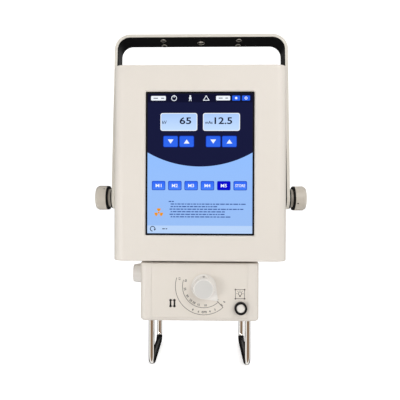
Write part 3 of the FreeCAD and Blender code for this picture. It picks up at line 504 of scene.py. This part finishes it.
# thin raised shapes that face the viewer, with their outer face at Y = front
def layer(name, outlines, front, thickness, material, body):
    mesh = bpy.data.meshes.new(name)
    work = bmesh.new()
    for outline in outlines:
        area = sum(a[0] * b[1] - b[0] * a[1] for a, b in zip(outline, outline[1:] + outline[:1]))
        points = outline if area > 0 else outline[::-1]
        outer = [work.verts.new((x, front, z)) for x, z in points]
        inner = [work.verts.new((x, front + thickness, z)) for x, z in points]
        work.faces.new(outer)
        work.faces.new(inner[::-1])
        for index in range(len(points)):
            following = (index + 1) % len(points)
            work.faces.new((outer[index], inner[index], inner[following], outer[following]))
    bmesh.ops.recalc_face_normals(work, faces=work.faces)
    work.to_mesh(mesh)
    work.free()
    return finishPiece(name, mesh, material, body)


def finishPiece(name, mesh, material, body):
    piece = bpy.data.objects.new(name, mesh)
    bpy.context.scene.collection.objects.link(piece)
    mesh.materials.append(material)
    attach(piece, body)
    return piece


letterSet = {"extrude": 0.5, "boldness": 0.018, "smoothness": 3}


# a word or number standing on the X-Z plane, fitted to a height and, if given, a width
def letterMesh(text, x, z, height, front, thickness, width=None, turn=0.0):
    curve = bpy.data.curves.new("letters", "FONT")
    curve.body = text
    curve.extrude = letterSet["extrude"]
    curve.offset = letterSet["boldness"]
    curve.resolution_u = letterSet["smoothness"]
    holder = bpy.data.objects.new("letters", curve)
    bpy.context.scene.collection.objects.link(holder)
    bpy.context.view_layer.update()
    mesh = bpy.data.meshes.new_from_object(holder.evaluated_get(bpy.context.evaluated_depsgraph_get()))
    bpy.data.objects.remove(holder)
    low = Vector((min(v.co[axis] for v in mesh.vertices) for axis in range(3)))
    high = Vector((max(v.co[axis] for v in mesh.vertices) for axis in range(3)))
    tall = height / (high.y - low.y)
    wide = width / (high.x - low.x) if width else tall
    centre = (low + high) / 2
    for vertex in mesh.vertices:
        across = (vertex.co.x - centre.x) * wide
        upward = (vertex.co.y - centre.y) * tall
        depth = front if vertex.co.z > centre.z else front + thickness
        vertex.co = (x + across * math.cos(turn) - upward * math.sin(turn), depth,
                     z + across * math.sin(turn) + upward * math.cos(turn))
    return mesh


def letters(name, words, material, body):
    whole = bmesh.new()
    for mesh in words:
        whole.from_mesh(mesh)
        bpy.data.meshes.remove(mesh)
    bmesh.ops.recalc_face_normals(whole, faces=whole.faces)
    mesh = bpy.data.meshes.new(name)
    whole.to_mesh(mesh)
    whole.free()
    return finishPiece(name, mesh, material, body)


# screen picture

glowSet = {"specular": 0.1, "cloudSize": 9.0, "uneven": 0.1, "darker": 0.8, "rough": 0.12, "gloss": 0.08,
           "grain": 2500.0}


def glassSkin(tree, sockets, colour, dark):
    skin = placeGroup(tree, mottle, {"Colour": colour, "Shade": dark, "Roughness": glowSet["rough"],
                                     "Gloss Change": glowSet["gloss"], "Grain Size": glowSet["grain"]})
    tree.links.new(skin.outputs["Colour"], sockets["Base Color"])
    tree.links.new(skin.outputs["Roughness"], sockets["Roughness"])


def startGlow(name):
    return startMaterial(name, {"Metallic": 0.0, "Specular IOR Level": glowSet["specular"],
                                "Emission Strength": 1.0})


# lit display colour under glossy glass, with a faint unevenness of the backlight
def glow(name, colour):
    material, tree, sockets = startGlow(name)
    cloud = noiseNode(tree, objectPlace(tree), glowSet["cloudSize"], 2.0)
    uneven = mathNode(tree, "MULTIPLY", cloud, glowSet["uneven"], True)
    dimmed = shade(colour, glowSet["darker"])
    tree.links.new(mixColour(tree, uneven, colour, dimmed), sockets["Emission Color"])
    glassSkin(tree, sockets, shade(colour, 0.04), shade(colour, 0.03))
    return material


# lit colour that changes with height
def gradientGlow(name, lowColour, highColour, lowZ, highZ):
    material, tree, sockets = startGlow(name)
    parts = addNode(tree, "ShaderNodeSeparateXYZ")
    tree.links.new(objectPlace(tree), parts.inputs[0])
    above = mathNode(tree, "SUBTRACT", parts.outputs["Z"], lowZ)
    height = mathNode(tree, "DIVIDE", above, highZ - lowZ, True)
    tree.links.new(mixColour(tree, height, lowColour, highColour), sockets["Emission Color"])
    glassSkin(tree, sockets, (0.02, 0.025, 0.03, 1), (0.015, 0.02, 0.025, 1))
    return material


def srgb(red, green, blue):
    def straight(value):
        value = value / 255
        return value / 12.92 if value <= 0.04045 else ((value + 0.055) / 1.055) ** 2.4
    return (straight(red), straight(green), straight(blue), 1)


screen = {
    "width": 158.4 * mm, "height": 211.2 * mm, "layer": 0.05 * mm,
    "navyDip": 110.2 * mm, "navyRadius": 158.7 * mm,
    "fieldWidth": 55.7 * mm, "fieldHeight": 26.9 * mm, "fieldDrop": 42.9 * mm,
    "fieldX": (-31.9 * mm, 32.4 * mm),
    "arrowX": (-44.3 * mm, -20.0 * mm, 20.1 * mm, 44.4 * mm), "arrowDrop": 72.4 * mm,
    "arrowWidth": 22.6 * mm, "arrowHeight": 17.4 * mm,
    "memoryDrop": 139.0 * mm, "memoryWidth": 20.4 * mm, "memoryHeight": 14.0 * mm, "memoryPitch": 24.64 * mm,
    "memoryStart": -62.3 * mm, "memoryChosen": 4, "keyRim": 1.6 * mm,
    "bandDrop": 199.4 * mm, "noteDrop": 163.0 * mm, "notePitch": 3.87 * mm, "noteX": -47.0 * mm,
    "noteIndent": 3.0 * mm, "wordLow": 2.2, "wordHigh": 7.5, "wordGap": 1.0 * mm, "wordHeight": 1.5 * mm,
    "markX": -61.9 * mm, "markDrop": 180 * mm, "numberDrop": 41.0 * mm, "numberHeight": 10.4 * mm,
}

# row of icons at the top of the screen, and the row at its foot
statusRow = {
    "drop": 7.0 * mm, "height": 13.2 * mm, "middle": 6.7 * mm, "line": 1.0 * mm,
    "pillX": (-62.9 * mm, 34.8 * mm), "pillWidth": (22.4 * mm, 21.2 * mm), "pillHeight": 6.8 * mm,
    "keyX": (54.4 * mm, 69.2 * mm), "keyWidth": (12.0 * mm, 12.2 * mm), "keyHeight": 7.6 * mm,
    "powerX": -39.2 * mm, "personX": -14.8 * mm, "warningX": 9.3 * mm, "warningHalf": 4.3 * mm,
    "marks": ((-67.0 * mm, 7.0 * mm), (-56.6 * mm, 5.0 * mm), (31.0 * mm, 6.0 * mm), (40.2 * mm, 4.0 * mm)),
}
footRow = {
    "drop": 204.4 * mm, "middle": 205.2 * mm, "height": 11.4 * mm, "arrowX": -71.1 * mm,
    "marks": ((-54.6 * mm, 4.0 * mm), (-50.2 * mm, 2.4 * mm)),
}

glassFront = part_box("touch_glass")[0][1]
screenMiddle = middleOf("touch_glass")
screenTop = screenMiddle.z + screen["height"] / 2


def dropZ(distance):
    return screenTop - distance


def level(number):
    return glassFront - screen["layer"] * number


def navyOutline():
    half = screen["width"] / 2
    radius = screen["navyRadius"]
    centreZ = dropZ(screen["navyDip"]) + radius
    steps = 24
    turn = math.asin(half / radius) / steps
    arc = [(radius * math.sin(turn * step), centreZ - radius * math.cos(turn * step))
           for step in range(-steps, steps + 1)]
    return [(-half, dropZ(0))] + arc + [(half, dropZ(0))]


# greeked lines of text, as (indent, length in mm)
noteRows = ((0, 6.0), (1, 112.0), (1, 68.0), (0.45, 110.0), (1, 84.0), (0.45, 82.0), (1, 92.0))


def noteLines():
    outlines = []
    for row, (indent, length) in enumerate(noteRows):
        z = dropZ(screen["noteDrop"] + row * screen["notePitch"])
        x = screen["noteX"] + screen["noteIndent"] * indent
        limit = screen["noteX"] + length * mm
        while x < limit:
            word = random.uniform(screen["wordLow"], screen["wordHigh"]) * mm
            outlines.append(roundRect(x + word / 2, z, word, screen["wordHeight"], 0.4 * mm, 2))
            x += word + screen["wordGap"]
    return outlines


def putOnScreen(name, outlines, number, material):
    layer(name, outlines, level(number), screen["layer"], material, "body")


def rectRow(places, z, width, height, radius):
    return [roundRect(x, z, width, height, radius) for x in places]


def textBars(marks, z, height):
    return [roundRect(x, z, width, height, 0.3 * mm, 2) for x, width in marks]


glows = {
    "navy": glow("navyGlow", srgb(21, 25, 60)), "band": glow("bandGlow", srgb(184, 211, 248)),
    "chosen": glow("chosenGlow", srgb(5, 8, 205)), "rim": glow("rimGlow", srgb(4, 52, 176)),
    "white": glow("whiteGlow", srgb(240, 246, 255)), "dark": glow("darkGlow", srgb(12, 22, 50)),
    "ink": glow("inkGlow", srgb(52, 82, 150)), "amber": glow("amberGlow", srgb(232, 150, 32)),
    "status": glow("statusGlow", srgb(14, 17, 46)),
    "sky": gradientGlow("skyGlow", srgb(150, 188, 244), srgb(144, 188, 252),
                        dropZ(screen["bandDrop"]), dropZ(100 * mm)),
    "field": gradientGlow("fieldGlow", srgb(196, 222, 255), srgb(168, 200, 248),
                          dropZ(screen["fieldDrop"] + 14 * mm), dropZ(screen["fieldDrop"] - 14 * mm)),
    "blue": gradientGlow("blueGlow", srgb(50, 115, 250), srgb(10, 88, 232), dropZ(150 * mm), dropZ(60 * mm)),
    "memory": gradientGlow("memoryGlow", srgb(60, 125, 250), srgb(14, 90, 244),
                           dropZ(146 * mm), dropZ(131 * mm)),
}


def makeGround():
    width = screen["width"]
    ground = roundRect(0, screenMiddle.z, width, screen["height"], 0.4 * mm, 2)
    status = roundRect(0, dropZ(statusRow["middle"]), width, statusRow["height"], 0.2 * mm, 2)
    band = roundRect(0, dropZ(footRow["middle"]), width, footRow["height"], 0.2 * mm, 2)
    putOnScreen("screen_ground", [ground], 1, glows["sky"])
    putOnScreen("screen_upper", [navyOutline()], 2, glows["navy"])
    putOnScreen("screen_status", [status], 3, glows["status"])
    putOnScreen("screen_band", [band], 2, glows["band"])


def makeFields():
    fieldZ = dropZ(screen["fieldDrop"])
    width, height, rim = screen["fieldWidth"], screen["fieldHeight"], 2.2 * mm
    rims = rectRow(screen["fieldX"], fieldZ, width, height, 3.4 * mm)
    faces = rectRow(screen["fieldX"], fieldZ, width - rim, height - rim, 2.6 * mm)
    putOnScreen("screen_field_rims", rims, 3, glows["white"])
    putOnScreen("screen_fields", faces, 4, glows["field"])


def makeArrows():
    arrowZ = dropZ(screen["arrowDrop"])
    width, height, rim = screen["arrowWidth"], screen["arrowHeight"], screen["keyRim"]
    rims = rectRow(screen["arrowX"], arrowZ, width, height, 2.2 * mm)
    keys = rectRow(screen["arrowX"], arrowZ, width - rim, height - rim, 1.8 * mm)
    heads = [triangle(x, arrowZ, 8.6 * mm, 6.2 * mm, 1 if index % 2 else -1)
             for index, x in enumerate(screen["arrowX"])]
    putOnScreen("screen_arrow_rims", rims, 3, glows["rim"])
    putOnScreen("screen_arrow_keys", keys, 4, glows["blue"])
    putOnScreen("screen_arrow_heads", heads, 5, glows["white"])


def memoryPlaces():
    return [screen["memoryStart"] + screen["memoryPitch"] * index for index in range(6)]


def makeMemoryKeys():
    memoryZ = dropZ(screen["memoryDrop"])
    width, height, rim = screen["memoryWidth"], screen["memoryHeight"], screen["keyRim"]
    chosen = screen["memoryChosen"]
    backs = rectRow(memoryPlaces(), memoryZ, width, height, 2.0 * mm)
    tiles = rectRow(memoryPlaces(), memoryZ, width - rim, height - rim, 1.6 * mm)
    putOnScreen("screen_memory_rims", backs, 2, glows["rim"])
    putOnScreen("screen_memory_keys", tiles[:chosen] + tiles[chosen + 1:], 3, glows["memory"])
    putOnScreen("screen_memory_chosen", [tiles[chosen]], 3, glows["chosen"])


def makeNotes():
    putOnScreen("screen_notes", noteLines(), 2, glows["ink"])
    x, z = screen["markX"], dropZ(screen["markDrop"])
    blades = [arcBand(x, z, 2.2 * mm, 6.6 * mm, start, start + 60, 8) for start in (60, 180, 300)]
    putOnScreen("screen_mark", blades + [disc(x, z, 1.4 * mm)], 2, glows["amber"])


def makeStatusRow(values):
    z, line = dropZ(values["drop"]), values["line"]
    pills = [roundRect(x, z, width, values["pillHeight"], 1.4 * mm)
             for x, width in zip(values["pillX"], values["pillWidth"])]
    keys = [roundRect(x, z, width, values["keyHeight"], 1.2 * mm)
            for x, width in zip(values["keyX"], values["keyWidth"])]
    putOnScreen("screen_pills", pills, 4, glows["white"])
    putOnScreen("screen_status_keys", keys, 4, glows["blue"])
    power, person, warning = values["powerX"], values["personX"], values["warningX"]
    icons = ring(power, z, 3.3 * mm, 4.3 * mm) + [stroke(power, z + 1.0 * mm, power, z + 4.6 * mm, line)]
    icons += [disc(person, z + 3.2 * mm, 1.3 * mm), roundRect(person, z, 3.6 * mm, 3.4 * mm, 0.8 * mm)]
    icons += [stroke(person + side * 0.9 * mm, z - 1.4 * mm, person + side * 1.5 * mm, z - 4.4 * mm, line)
              for side in (-1, 1)]
    half = values["warningHalf"]
    icons += [stroke(warning - half, z - 3.4 * mm, warning, z + 3.8 * mm, line),
              stroke(warning, z + 3.8 * mm, warning + half, z - 3.4 * mm, line),
              stroke(warning - 4.9 * mm, z - 3.2 * mm, warning + 4.9 * mm, z - 3.2 * mm, line)]
    icons += [disc(values["keyX"][0], z, 1.8 * mm)] + ring(values["keyX"][1], z, 1.2 * mm, 2.2 * mm)
    putOnScreen("screen_icons", icons, 5, glows["white"])
    putOnScreen("screen_pill_marks", textBars(values["marks"], z, 1.2 * mm), 5, glows["dark"])


def makeFootRow(values):
    z, x = dropZ(values["drop"]), values["arrowX"]
    turnArrow = [arcBand(x, z, 3.0 * mm, 4.1 * mm, -20, 270, 20),
                 triangle(x + 3.3 * mm, z - 1.6 * mm, 3.4 * mm, 2.8 * mm, -1)]
    bars = textBars(values["marks"], z, 1.3 * mm)
    putOnScreen("screen_band_icons", turnArrow + bars, 3, glows["dark"])


def makeReadings():
    thin, z, tall = screen["layer"], dropZ(screen["numberDrop"]), screen["numberHeight"]
    digits = [letterMesh("65", -22.0 * mm, z, tall, level(5), thin, 17.6 * mm),
              letterMesh("12.5", 35.2 * mm, z, tall, level(5), thin, 26.6 * mm),
              letterMesh("kV", -53.6 * mm, dropZ(43.4 * mm), 4.8 * mm, level(5), thin, 6.6 * mm),
              letterMesh("mAs", 13.6 * mm, dropZ(43.6 * mm), 4.4 * mm, level(5), thin, 10.8 * mm)]
    letters("screen_digits", digits, glows["dark"], "body")
    memoryZ, places = dropZ(screen["memoryDrop"]), memoryPlaces()
    names = [letterMesh("M" + str(index + 1), x, memoryZ, 5.0 * mm, level(4), thin, 9.0 * mm)
             for index, x in enumerate(places[:5])]
    names.append(letterMesh("STORE", places[5], memoryZ, 4.4 * mm, level(4), thin, 15.0 * mm))
    letters("screen_memory_names", names, glows["white"], "body")


makeGround()
makeFields()
makeArrows()
makeMemoryKeys()
makeNotes()
makeStatusRow(statusRow)
makeFootRow(footRow)
makeReadings()
print("screen picture built")


# printed scales and symbols on the collimator's front

printSet = {
    "thickness": 0.06 * mm, "innerArc": 32.4 * mm, "outerArc": 43.2 * mm, "line": 0.8 * mm, "arcStart": 162.0,
    "arcEnd": 313.0, "endStart": 30 * mm, "innerRow": 28.8 * mm, "outerRow": 39.0 * mm, "digit": 3.3 * mm,
}
innerNumbers = {162.0: "43", 188.0: "35", 210.5: "30", 227.0: "25", 239.5: "20", 254.5: "15", 275.8: "10",
                316.5: "0"}
outerNumbers = {163.0: "17", 245.0: "8", 258.6: "6", 271.0: "cm", 284.0: "4", 296.0: "3", 314.6: "2",
                323.5: "0"}
shutterSign = {"x": -41.1 * mm, "z": 102.6 * mm, "reach": 4.5 * mm, "apart": 3.0 * mm, "bar": 2.5 * mm,
               "knob": 1.95 * mm, "link": 2.4 * mm, "line": 0.8 * mm}
lampSign = {"x": 61.7 * mm, "z": 117.2 * mm, "half": 6.9 * mm, "line": 0.8 * mm, "dot": 1.3 * mm,
            "bulbUp": 0.8 * mm, "bulb": (2.2 * mm, 3.0 * mm), "ray": (3.9 * mm, 5.4 * mm),
            "rayLine": 0.7 * mm, "capDown": 3.2 * mm}


def inkMaterial(name, colour):
    return coated(name, {"colour": colour, "shade": shade(colour, 1.25), "bare": shade(colour, 1.6),
                         "shadeDirt": colour, "rough": 0.42, "wear": 0.1, "shadeDust": 0.0, "bump": 0.03})


def frameJoint(name):
    for joint in frame["joints"]:
        if joint["name"] == name:
            return joint["pos_m"]


def spoke(x, z, angle, start, end, width):
    return stroke(x + start * math.cos(angle), z + start * math.sin(angle),
                  x + end * math.cos(angle), z + end * math.sin(angle), width)


def putOnPanel(name, outlines, ink):
    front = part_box("front_panel")[0][1] - printSet["thickness"]
    layer(name, outlines, front, printSet["thickness"], ink, "collimator")


def makeScales(lineInk, numberInk):
    dial = frameJoint("front_dial_turn")
    x, z = dial[0], dial[2]
    thin, half = printSet["thickness"], printSet["line"] / 2
    arcs = [arcBand(x, z, radius - half, radius + half, printSet["arcStart"], printSet["arcEnd"], 60)
            for radius in (printSet["innerArc"], printSet["outerArc"])]
    arcs.append(spoke(x, z, math.radians(printSet["arcEnd"]), printSet["endStart"], printSet["outerArc"],
                      printSet["line"] * 1.4))
    putOnPanel("scale_arcs", arcs, lineInk)
    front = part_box("front_panel")[0][1] - thin
    marks = []
    for radius, row in ((printSet["innerRow"], innerNumbers), (printSet["outerRow"], outerNumbers)):
        for angle, text in row.items():
            turn = math.radians(angle)
            marks.append(letterMesh(text, x + radius * math.cos(turn), z + radius * math.sin(turn),
                                    printSet["digit"], front, thin, None, turn + math.pi / 2))
    letters("scale_numbers", marks, numberInk, "collimator")


# two bars with round ends, joined by short links
def makeShutterSign(values, barInk, linkInk):
    z, reach = values["z"], values["reach"]
    bars = []
    for side in (-1, 1):
        x = values["x"] + side * values["apart"]
        bars.append(roundRect(x, z, values["bar"], reach * 2, 0.4 * mm, 3))
        bars += [disc(x, z + end * reach, values["knob"]) for end in (-1, 1)]
    putOnPanel("shutter_symbol", bars, barInk)
    links = [roundRect(values["x"], z + end * reach, values["link"], values["line"], 0.2 * mm, 2)
             for end in (-1, 1)]
    putOnPanel("shutter_links", links, linkInk)


# a lamp with rays in a square frame
def makeLampSign(values, ink):
    x, z, half, line = values["x"], values["z"], values["half"], values["line"]
    lamp = []
    for side in (-1, 1):
        lamp.append(stroke(x + side * half, z - half, x + side * half, z + half, line))
        lamp.append(stroke(x - half, z + side * half, x + half, z + side * half, line))
        lamp += [disc(x + side * half, z + end * half, values["dot"]) for end in (-1, 1)]
    bulbZ = z + values["bulbUp"]
    lamp += ring(x, bulbZ, *values["bulb"])
    lamp.append(roundRect(x, z - values["capDown"], 2.6 * mm, 1.8 * mm, 0.4 * mm, 3))
    lamp += [spoke(x, bulbZ, math.radians(45 * step), *values["ray"], values["rayLine"]) for step in range(5)]
    putOnPanel("lamp_symbol", lamp, ink)


greyInk = inkMaterial("greyInk", (0.022, 0.018, 0.017, 1))
paleInk = inkMaterial("paleInk", (0.15, 0.125, 0.11, 1))
blackInk = inkMaterial("blackInk", (0.005, 0.004, 0.004, 1))
makeScales(paleInk, greyInk)
makeShutterSign(shutterSign, blackInk, greyInk)
makeLampSign(lampSign, paleInk)
print("printed scales and symbols built")


# grey face discs and set screws of the field dials, drawn about +Y or +X

dialSet = {"face": 13.6 * mm, "thickness": 0.12 * mm, "screw": 1.5 * mm, "screwAlong": 9.0 * mm,
           "screwReach": 16.6 * mm, "screwDepth": 1.2 * mm}


# low round plug whose outer end is at the given centre, facing along the direction
def plug(name, centre, direction, radius, depth, material, body):
    mesh = bpy.data.meshes.new(name)
    work = bmesh.new()
    bmesh.ops.create_cone(work, cap_ends=True, segments=40, radius1=radius, radius2=radius, depth=depth)
    turn = Vector(direction).to_track_quat("Z", "Y").to_matrix()
    for vertex in work.verts:
        vertex.co = Vector(centre) + turn @ (vertex.co - Vector((0, 0, depth / 2)))
    work.to_mesh(mesh)
    work.free()
    for polygon in mesh.polygons:
        polygon.use_smooth = len(polygon.vertices) == 4
    return finishPiece(name, mesh, material, body)


def makeDialTrim(values):
    front = frameJoint("front_dial_turn")
    side = frameJoint("side_dial_turn")
    thin, along, reach = values["thickness"], values["screwAlong"], values["screwReach"]
    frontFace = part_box("front_dial")[0][1] - thin / 2
    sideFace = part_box("side_dial")[0][0] - thin / 2
    for name, centre, direction in (("front", (front[0], frontFace, front[2]), (0, -1, 0)),
                                    ("side", (sideFace, side[1], side[2]), (-1, 0, 0))):
        plug(name + "_dial_face", centre, direction, values["face"], thin, dialGrey,
             name + "_field_dial")
    for name, centre in (("front", (front[0], front[1] - along, front[2] + reach)),
                         ("side", (side[0] - along, side[1], side[2] + reach))):
        plug(name + "_dial_screw", centre, (0, 0, 1), values["screw"], values["screwDepth"], blackOxide,
             name + "_field_dial")


makeDialTrim(dialSet)
print("dial trim built")


# bright threaded inserts round the stand holes, seen from below the yoke

insertSet = {"lean": 5.0, "reach": 279.5 * mm, "height": 0.7 * mm, "chamfer": 0.2 * mm, "steps": 28,
             "x": 67.0 * mm, "y": 10.0 * mm, "hole": 3.55 * mm, "rim": 5.2 * mm, "centreHole": 5.05 * mm,
             "centreRim": 6.6 * mm}


def washerMesh(work, x, y, inner, outer, values):
    lean = math.radians(values["lean"])
    across = Vector((0, math.cos(lean), -math.sin(lean)))
    upward = Vector((0, math.sin(lean), math.cos(lean)))
    pivot = Vector(frameJoint("yoke_tilt"))
    base = pivot + Vector((x, 0, 0)) + across * y + upward * (values["reach"] - values["height"])
    steps = values["steps"]
    loops = []
    for radius, lift in ((inner, 0), (outer, values["chamfer"]), (outer, values["height"]),
                         (inner, values["height"])):
        loop = []
        for step in range(steps):
            turn = 2 * math.pi * step / steps
            offset = Vector((radius * math.cos(turn), 0, 0)) + across * radius * math.sin(turn)
            loop.append(work.verts.new(base + offset + upward * lift))
        loops.append(loop)
    for one, two in zip(loops, loops[1:] + loops[:1]):
        for step in range(steps):
            following = (step + 1) % steps
            work.faces.new((one[step], one[following], two[following], two[step]))


def makeInserts(values):
    mesh = bpy.data.meshes.new("stand_inserts")
    work = bmesh.new()
    washerMesh(work, 0, 0, values["centreHole"], values["centreRim"], values)
    for x in (-values["x"], values["x"]):
        for y in (-values["y"], values["y"]):
            washerMesh(work, x, y, values["hole"], values["rim"], values)
    bmesh.ops.recalc_face_normals(work, faces=work.faces)
    work.to_mesh(mesh)
    work.free()
    finishPiece("stand_inserts", mesh, brightZinc, "yoke")


makeInserts(insertSet)
print("stand hole inserts built")


# studio: pale floor and soft light all round

floorSet = {"radius": 14, "drop": 0.4 * mm, "glow": 0.62}


def makeFloor(values):
    floorPaint, tree, sockets = startMaterial("floorPaint", {"Metallic": 0.0, "Emission Color": (1, 1, 1, 1)})
    skin = placeGroup(tree, mottle, {"Colour": (0.93, 0.93, 0.93, 1), "Shade": (0.91, 0.91, 0.91, 1),
                                     "Roughness": 0.8, "Grain Size": 60.0})
    tree.links.new(skin.outputs["Colour"], sockets["Base Color"])
    tree.links.new(skin.outputs["Roughness"], sockets["Roughness"])
    seen = addNode(tree, "ShaderNodeLightPath").outputs["Is Camera Ray"]
    tree.links.new(mathNode(tree, "MULTIPLY", seen, values["glow"]), sockets["Emission Strength"])
    mesh = bpy.data.meshes.new("floor")
    work = bmesh.new()
    bmesh.ops.create_circle(work, cap_ends=True, segments=96, radius=values["radius"])
    work.to_mesh(mesh)
    work.free()
    floor = bpy.data.objects.new("floor", mesh)
    bpy.context.scene.collection.objects.link(floor)
    floor.location.z = -values["drop"]
    floor.visible_glossy = False
    mesh.materials.append(floorPaint)


def softLight(name, place, target, size, power):
    data = bpy.data.lights.new(name, "AREA")
    data.shape = "RECTANGLE"
    data.size, data.size_y = size
    data.energy = power
    light = bpy.data.objects.new(name, data)
    light.location = place
    light.rotation_euler = (Vector(target) - Vector(place)).to_track_quat("-Z", "Y").to_euler()
    bpy.context.scene.collection.objects.link(light)


lampSet = {
    "key": {"place": (1.0, -1.5, 1.2), "target": (0, 0, 0.42), "size": (1.4, 1.4), "power": 14},
    "low": {"place": (-0.85, -1.1, 0.04), "target": (0, 0, 0.2), "size": (0.38, 0.38), "power": 6},
    "rear": {"place": (0.4, 1.8, 1.1), "target": (0, 0, 0.3), "size": (1.5, 1.0), "power": 6},
}
room = {
    "light": 0.555, "seen": 1.2, "shine": 1.0, "band": (0.27, 0.18, 0.115, 1),
    "dark": (0.03, 0.027, 0.025, 1),
    "bandMiddle": 16.0, "bandHalf": 46.0, "backStart": 100.0, "soft": 8.0,
    "steepLow": 38.0, "steepHigh": 52.0,
}


def smoothEdge(tree, value, start, end):
    node = addNode(tree, "ShaderNodeMapRange", {"interpolation_type": "SMOOTHSTEP"})
    tree.links.new(value, node.inputs["Value"])
    node.inputs["From Min"].default_value = math.radians(start)
    node.inputs["From Max"].default_value = math.radians(end)
    return node.outputs["Result"]


# even white light; shiny surfaces see a warm band behind the viewer and a dark room behind the object
def makeWorld(values):
    world = bpy.data.worlds.new("studio")
    bpy.context.scene.world = world
    world.use_nodes = True
    tree = world.node_tree
    direction = addNode(tree, "ShaderNodeTexCoord").outputs["Generated"]
    parts = addNode(tree, "ShaderNodeSeparateXYZ")
    tree.links.new(direction, parts.inputs[0])
    turn = mathNode(tree, "ARCTAN2", parts.outputs["X"], mathNode(tree, "MULTIPLY", parts.outputs["Y"], -1.0))
    offset = mathNode(tree, "ABSOLUTE", mathNode(tree, "SUBTRACT", turn, math.radians(values["bandMiddle"])))
    inBand = smoothEdge(tree, offset, values["bandHalf"] + values["soft"], values["bandHalf"])
    behind = smoothEdge(tree, mathNode(tree, "ABSOLUTE", turn), values["backStart"],
                        values["backStart"] + values["soft"])
    steep = mathNode(tree, "ABSOLUTE", parts.outputs["Z"])
    sideways = smoothEdge(tree, steep, values["steepHigh"], values["steepLow"])
    warm = mixColour(tree, inBand, (1, 1, 1, 1), values["band"])
    shown = mixColour(tree, mathNode(tree, "MULTIPLY", behind, sideways), warm, values["dark"])
    path = addNode(tree, "ShaderNodeLightPath").outputs
    plain = mixColour(tree, path["Is Glossy Ray"], (1, 1, 1, 1), shown)
    gloss = mathNode(tree, "MULTIPLY", path["Is Glossy Ray"], values["shine"] - values["light"])
    seen = mathNode(tree, "MULTIPLY", path["Is Camera Ray"], values["seen"] - values["light"])
    strength = mathNode(tree, "ADD", mathNode(tree, "ADD", gloss, seen), values["light"])
    tree.links.new(plain, tree.nodes["Background"].inputs["Color"])
    tree.links.new(strength, tree.nodes["Background"].inputs["Strength"])


makeWorld(room)
makeFloor(floorSet)
for name, values in lampSet.items():
    softLight(name, **values)
bpy.context.scene.view_settings.view_transform = "Standard"
print("studio ready")
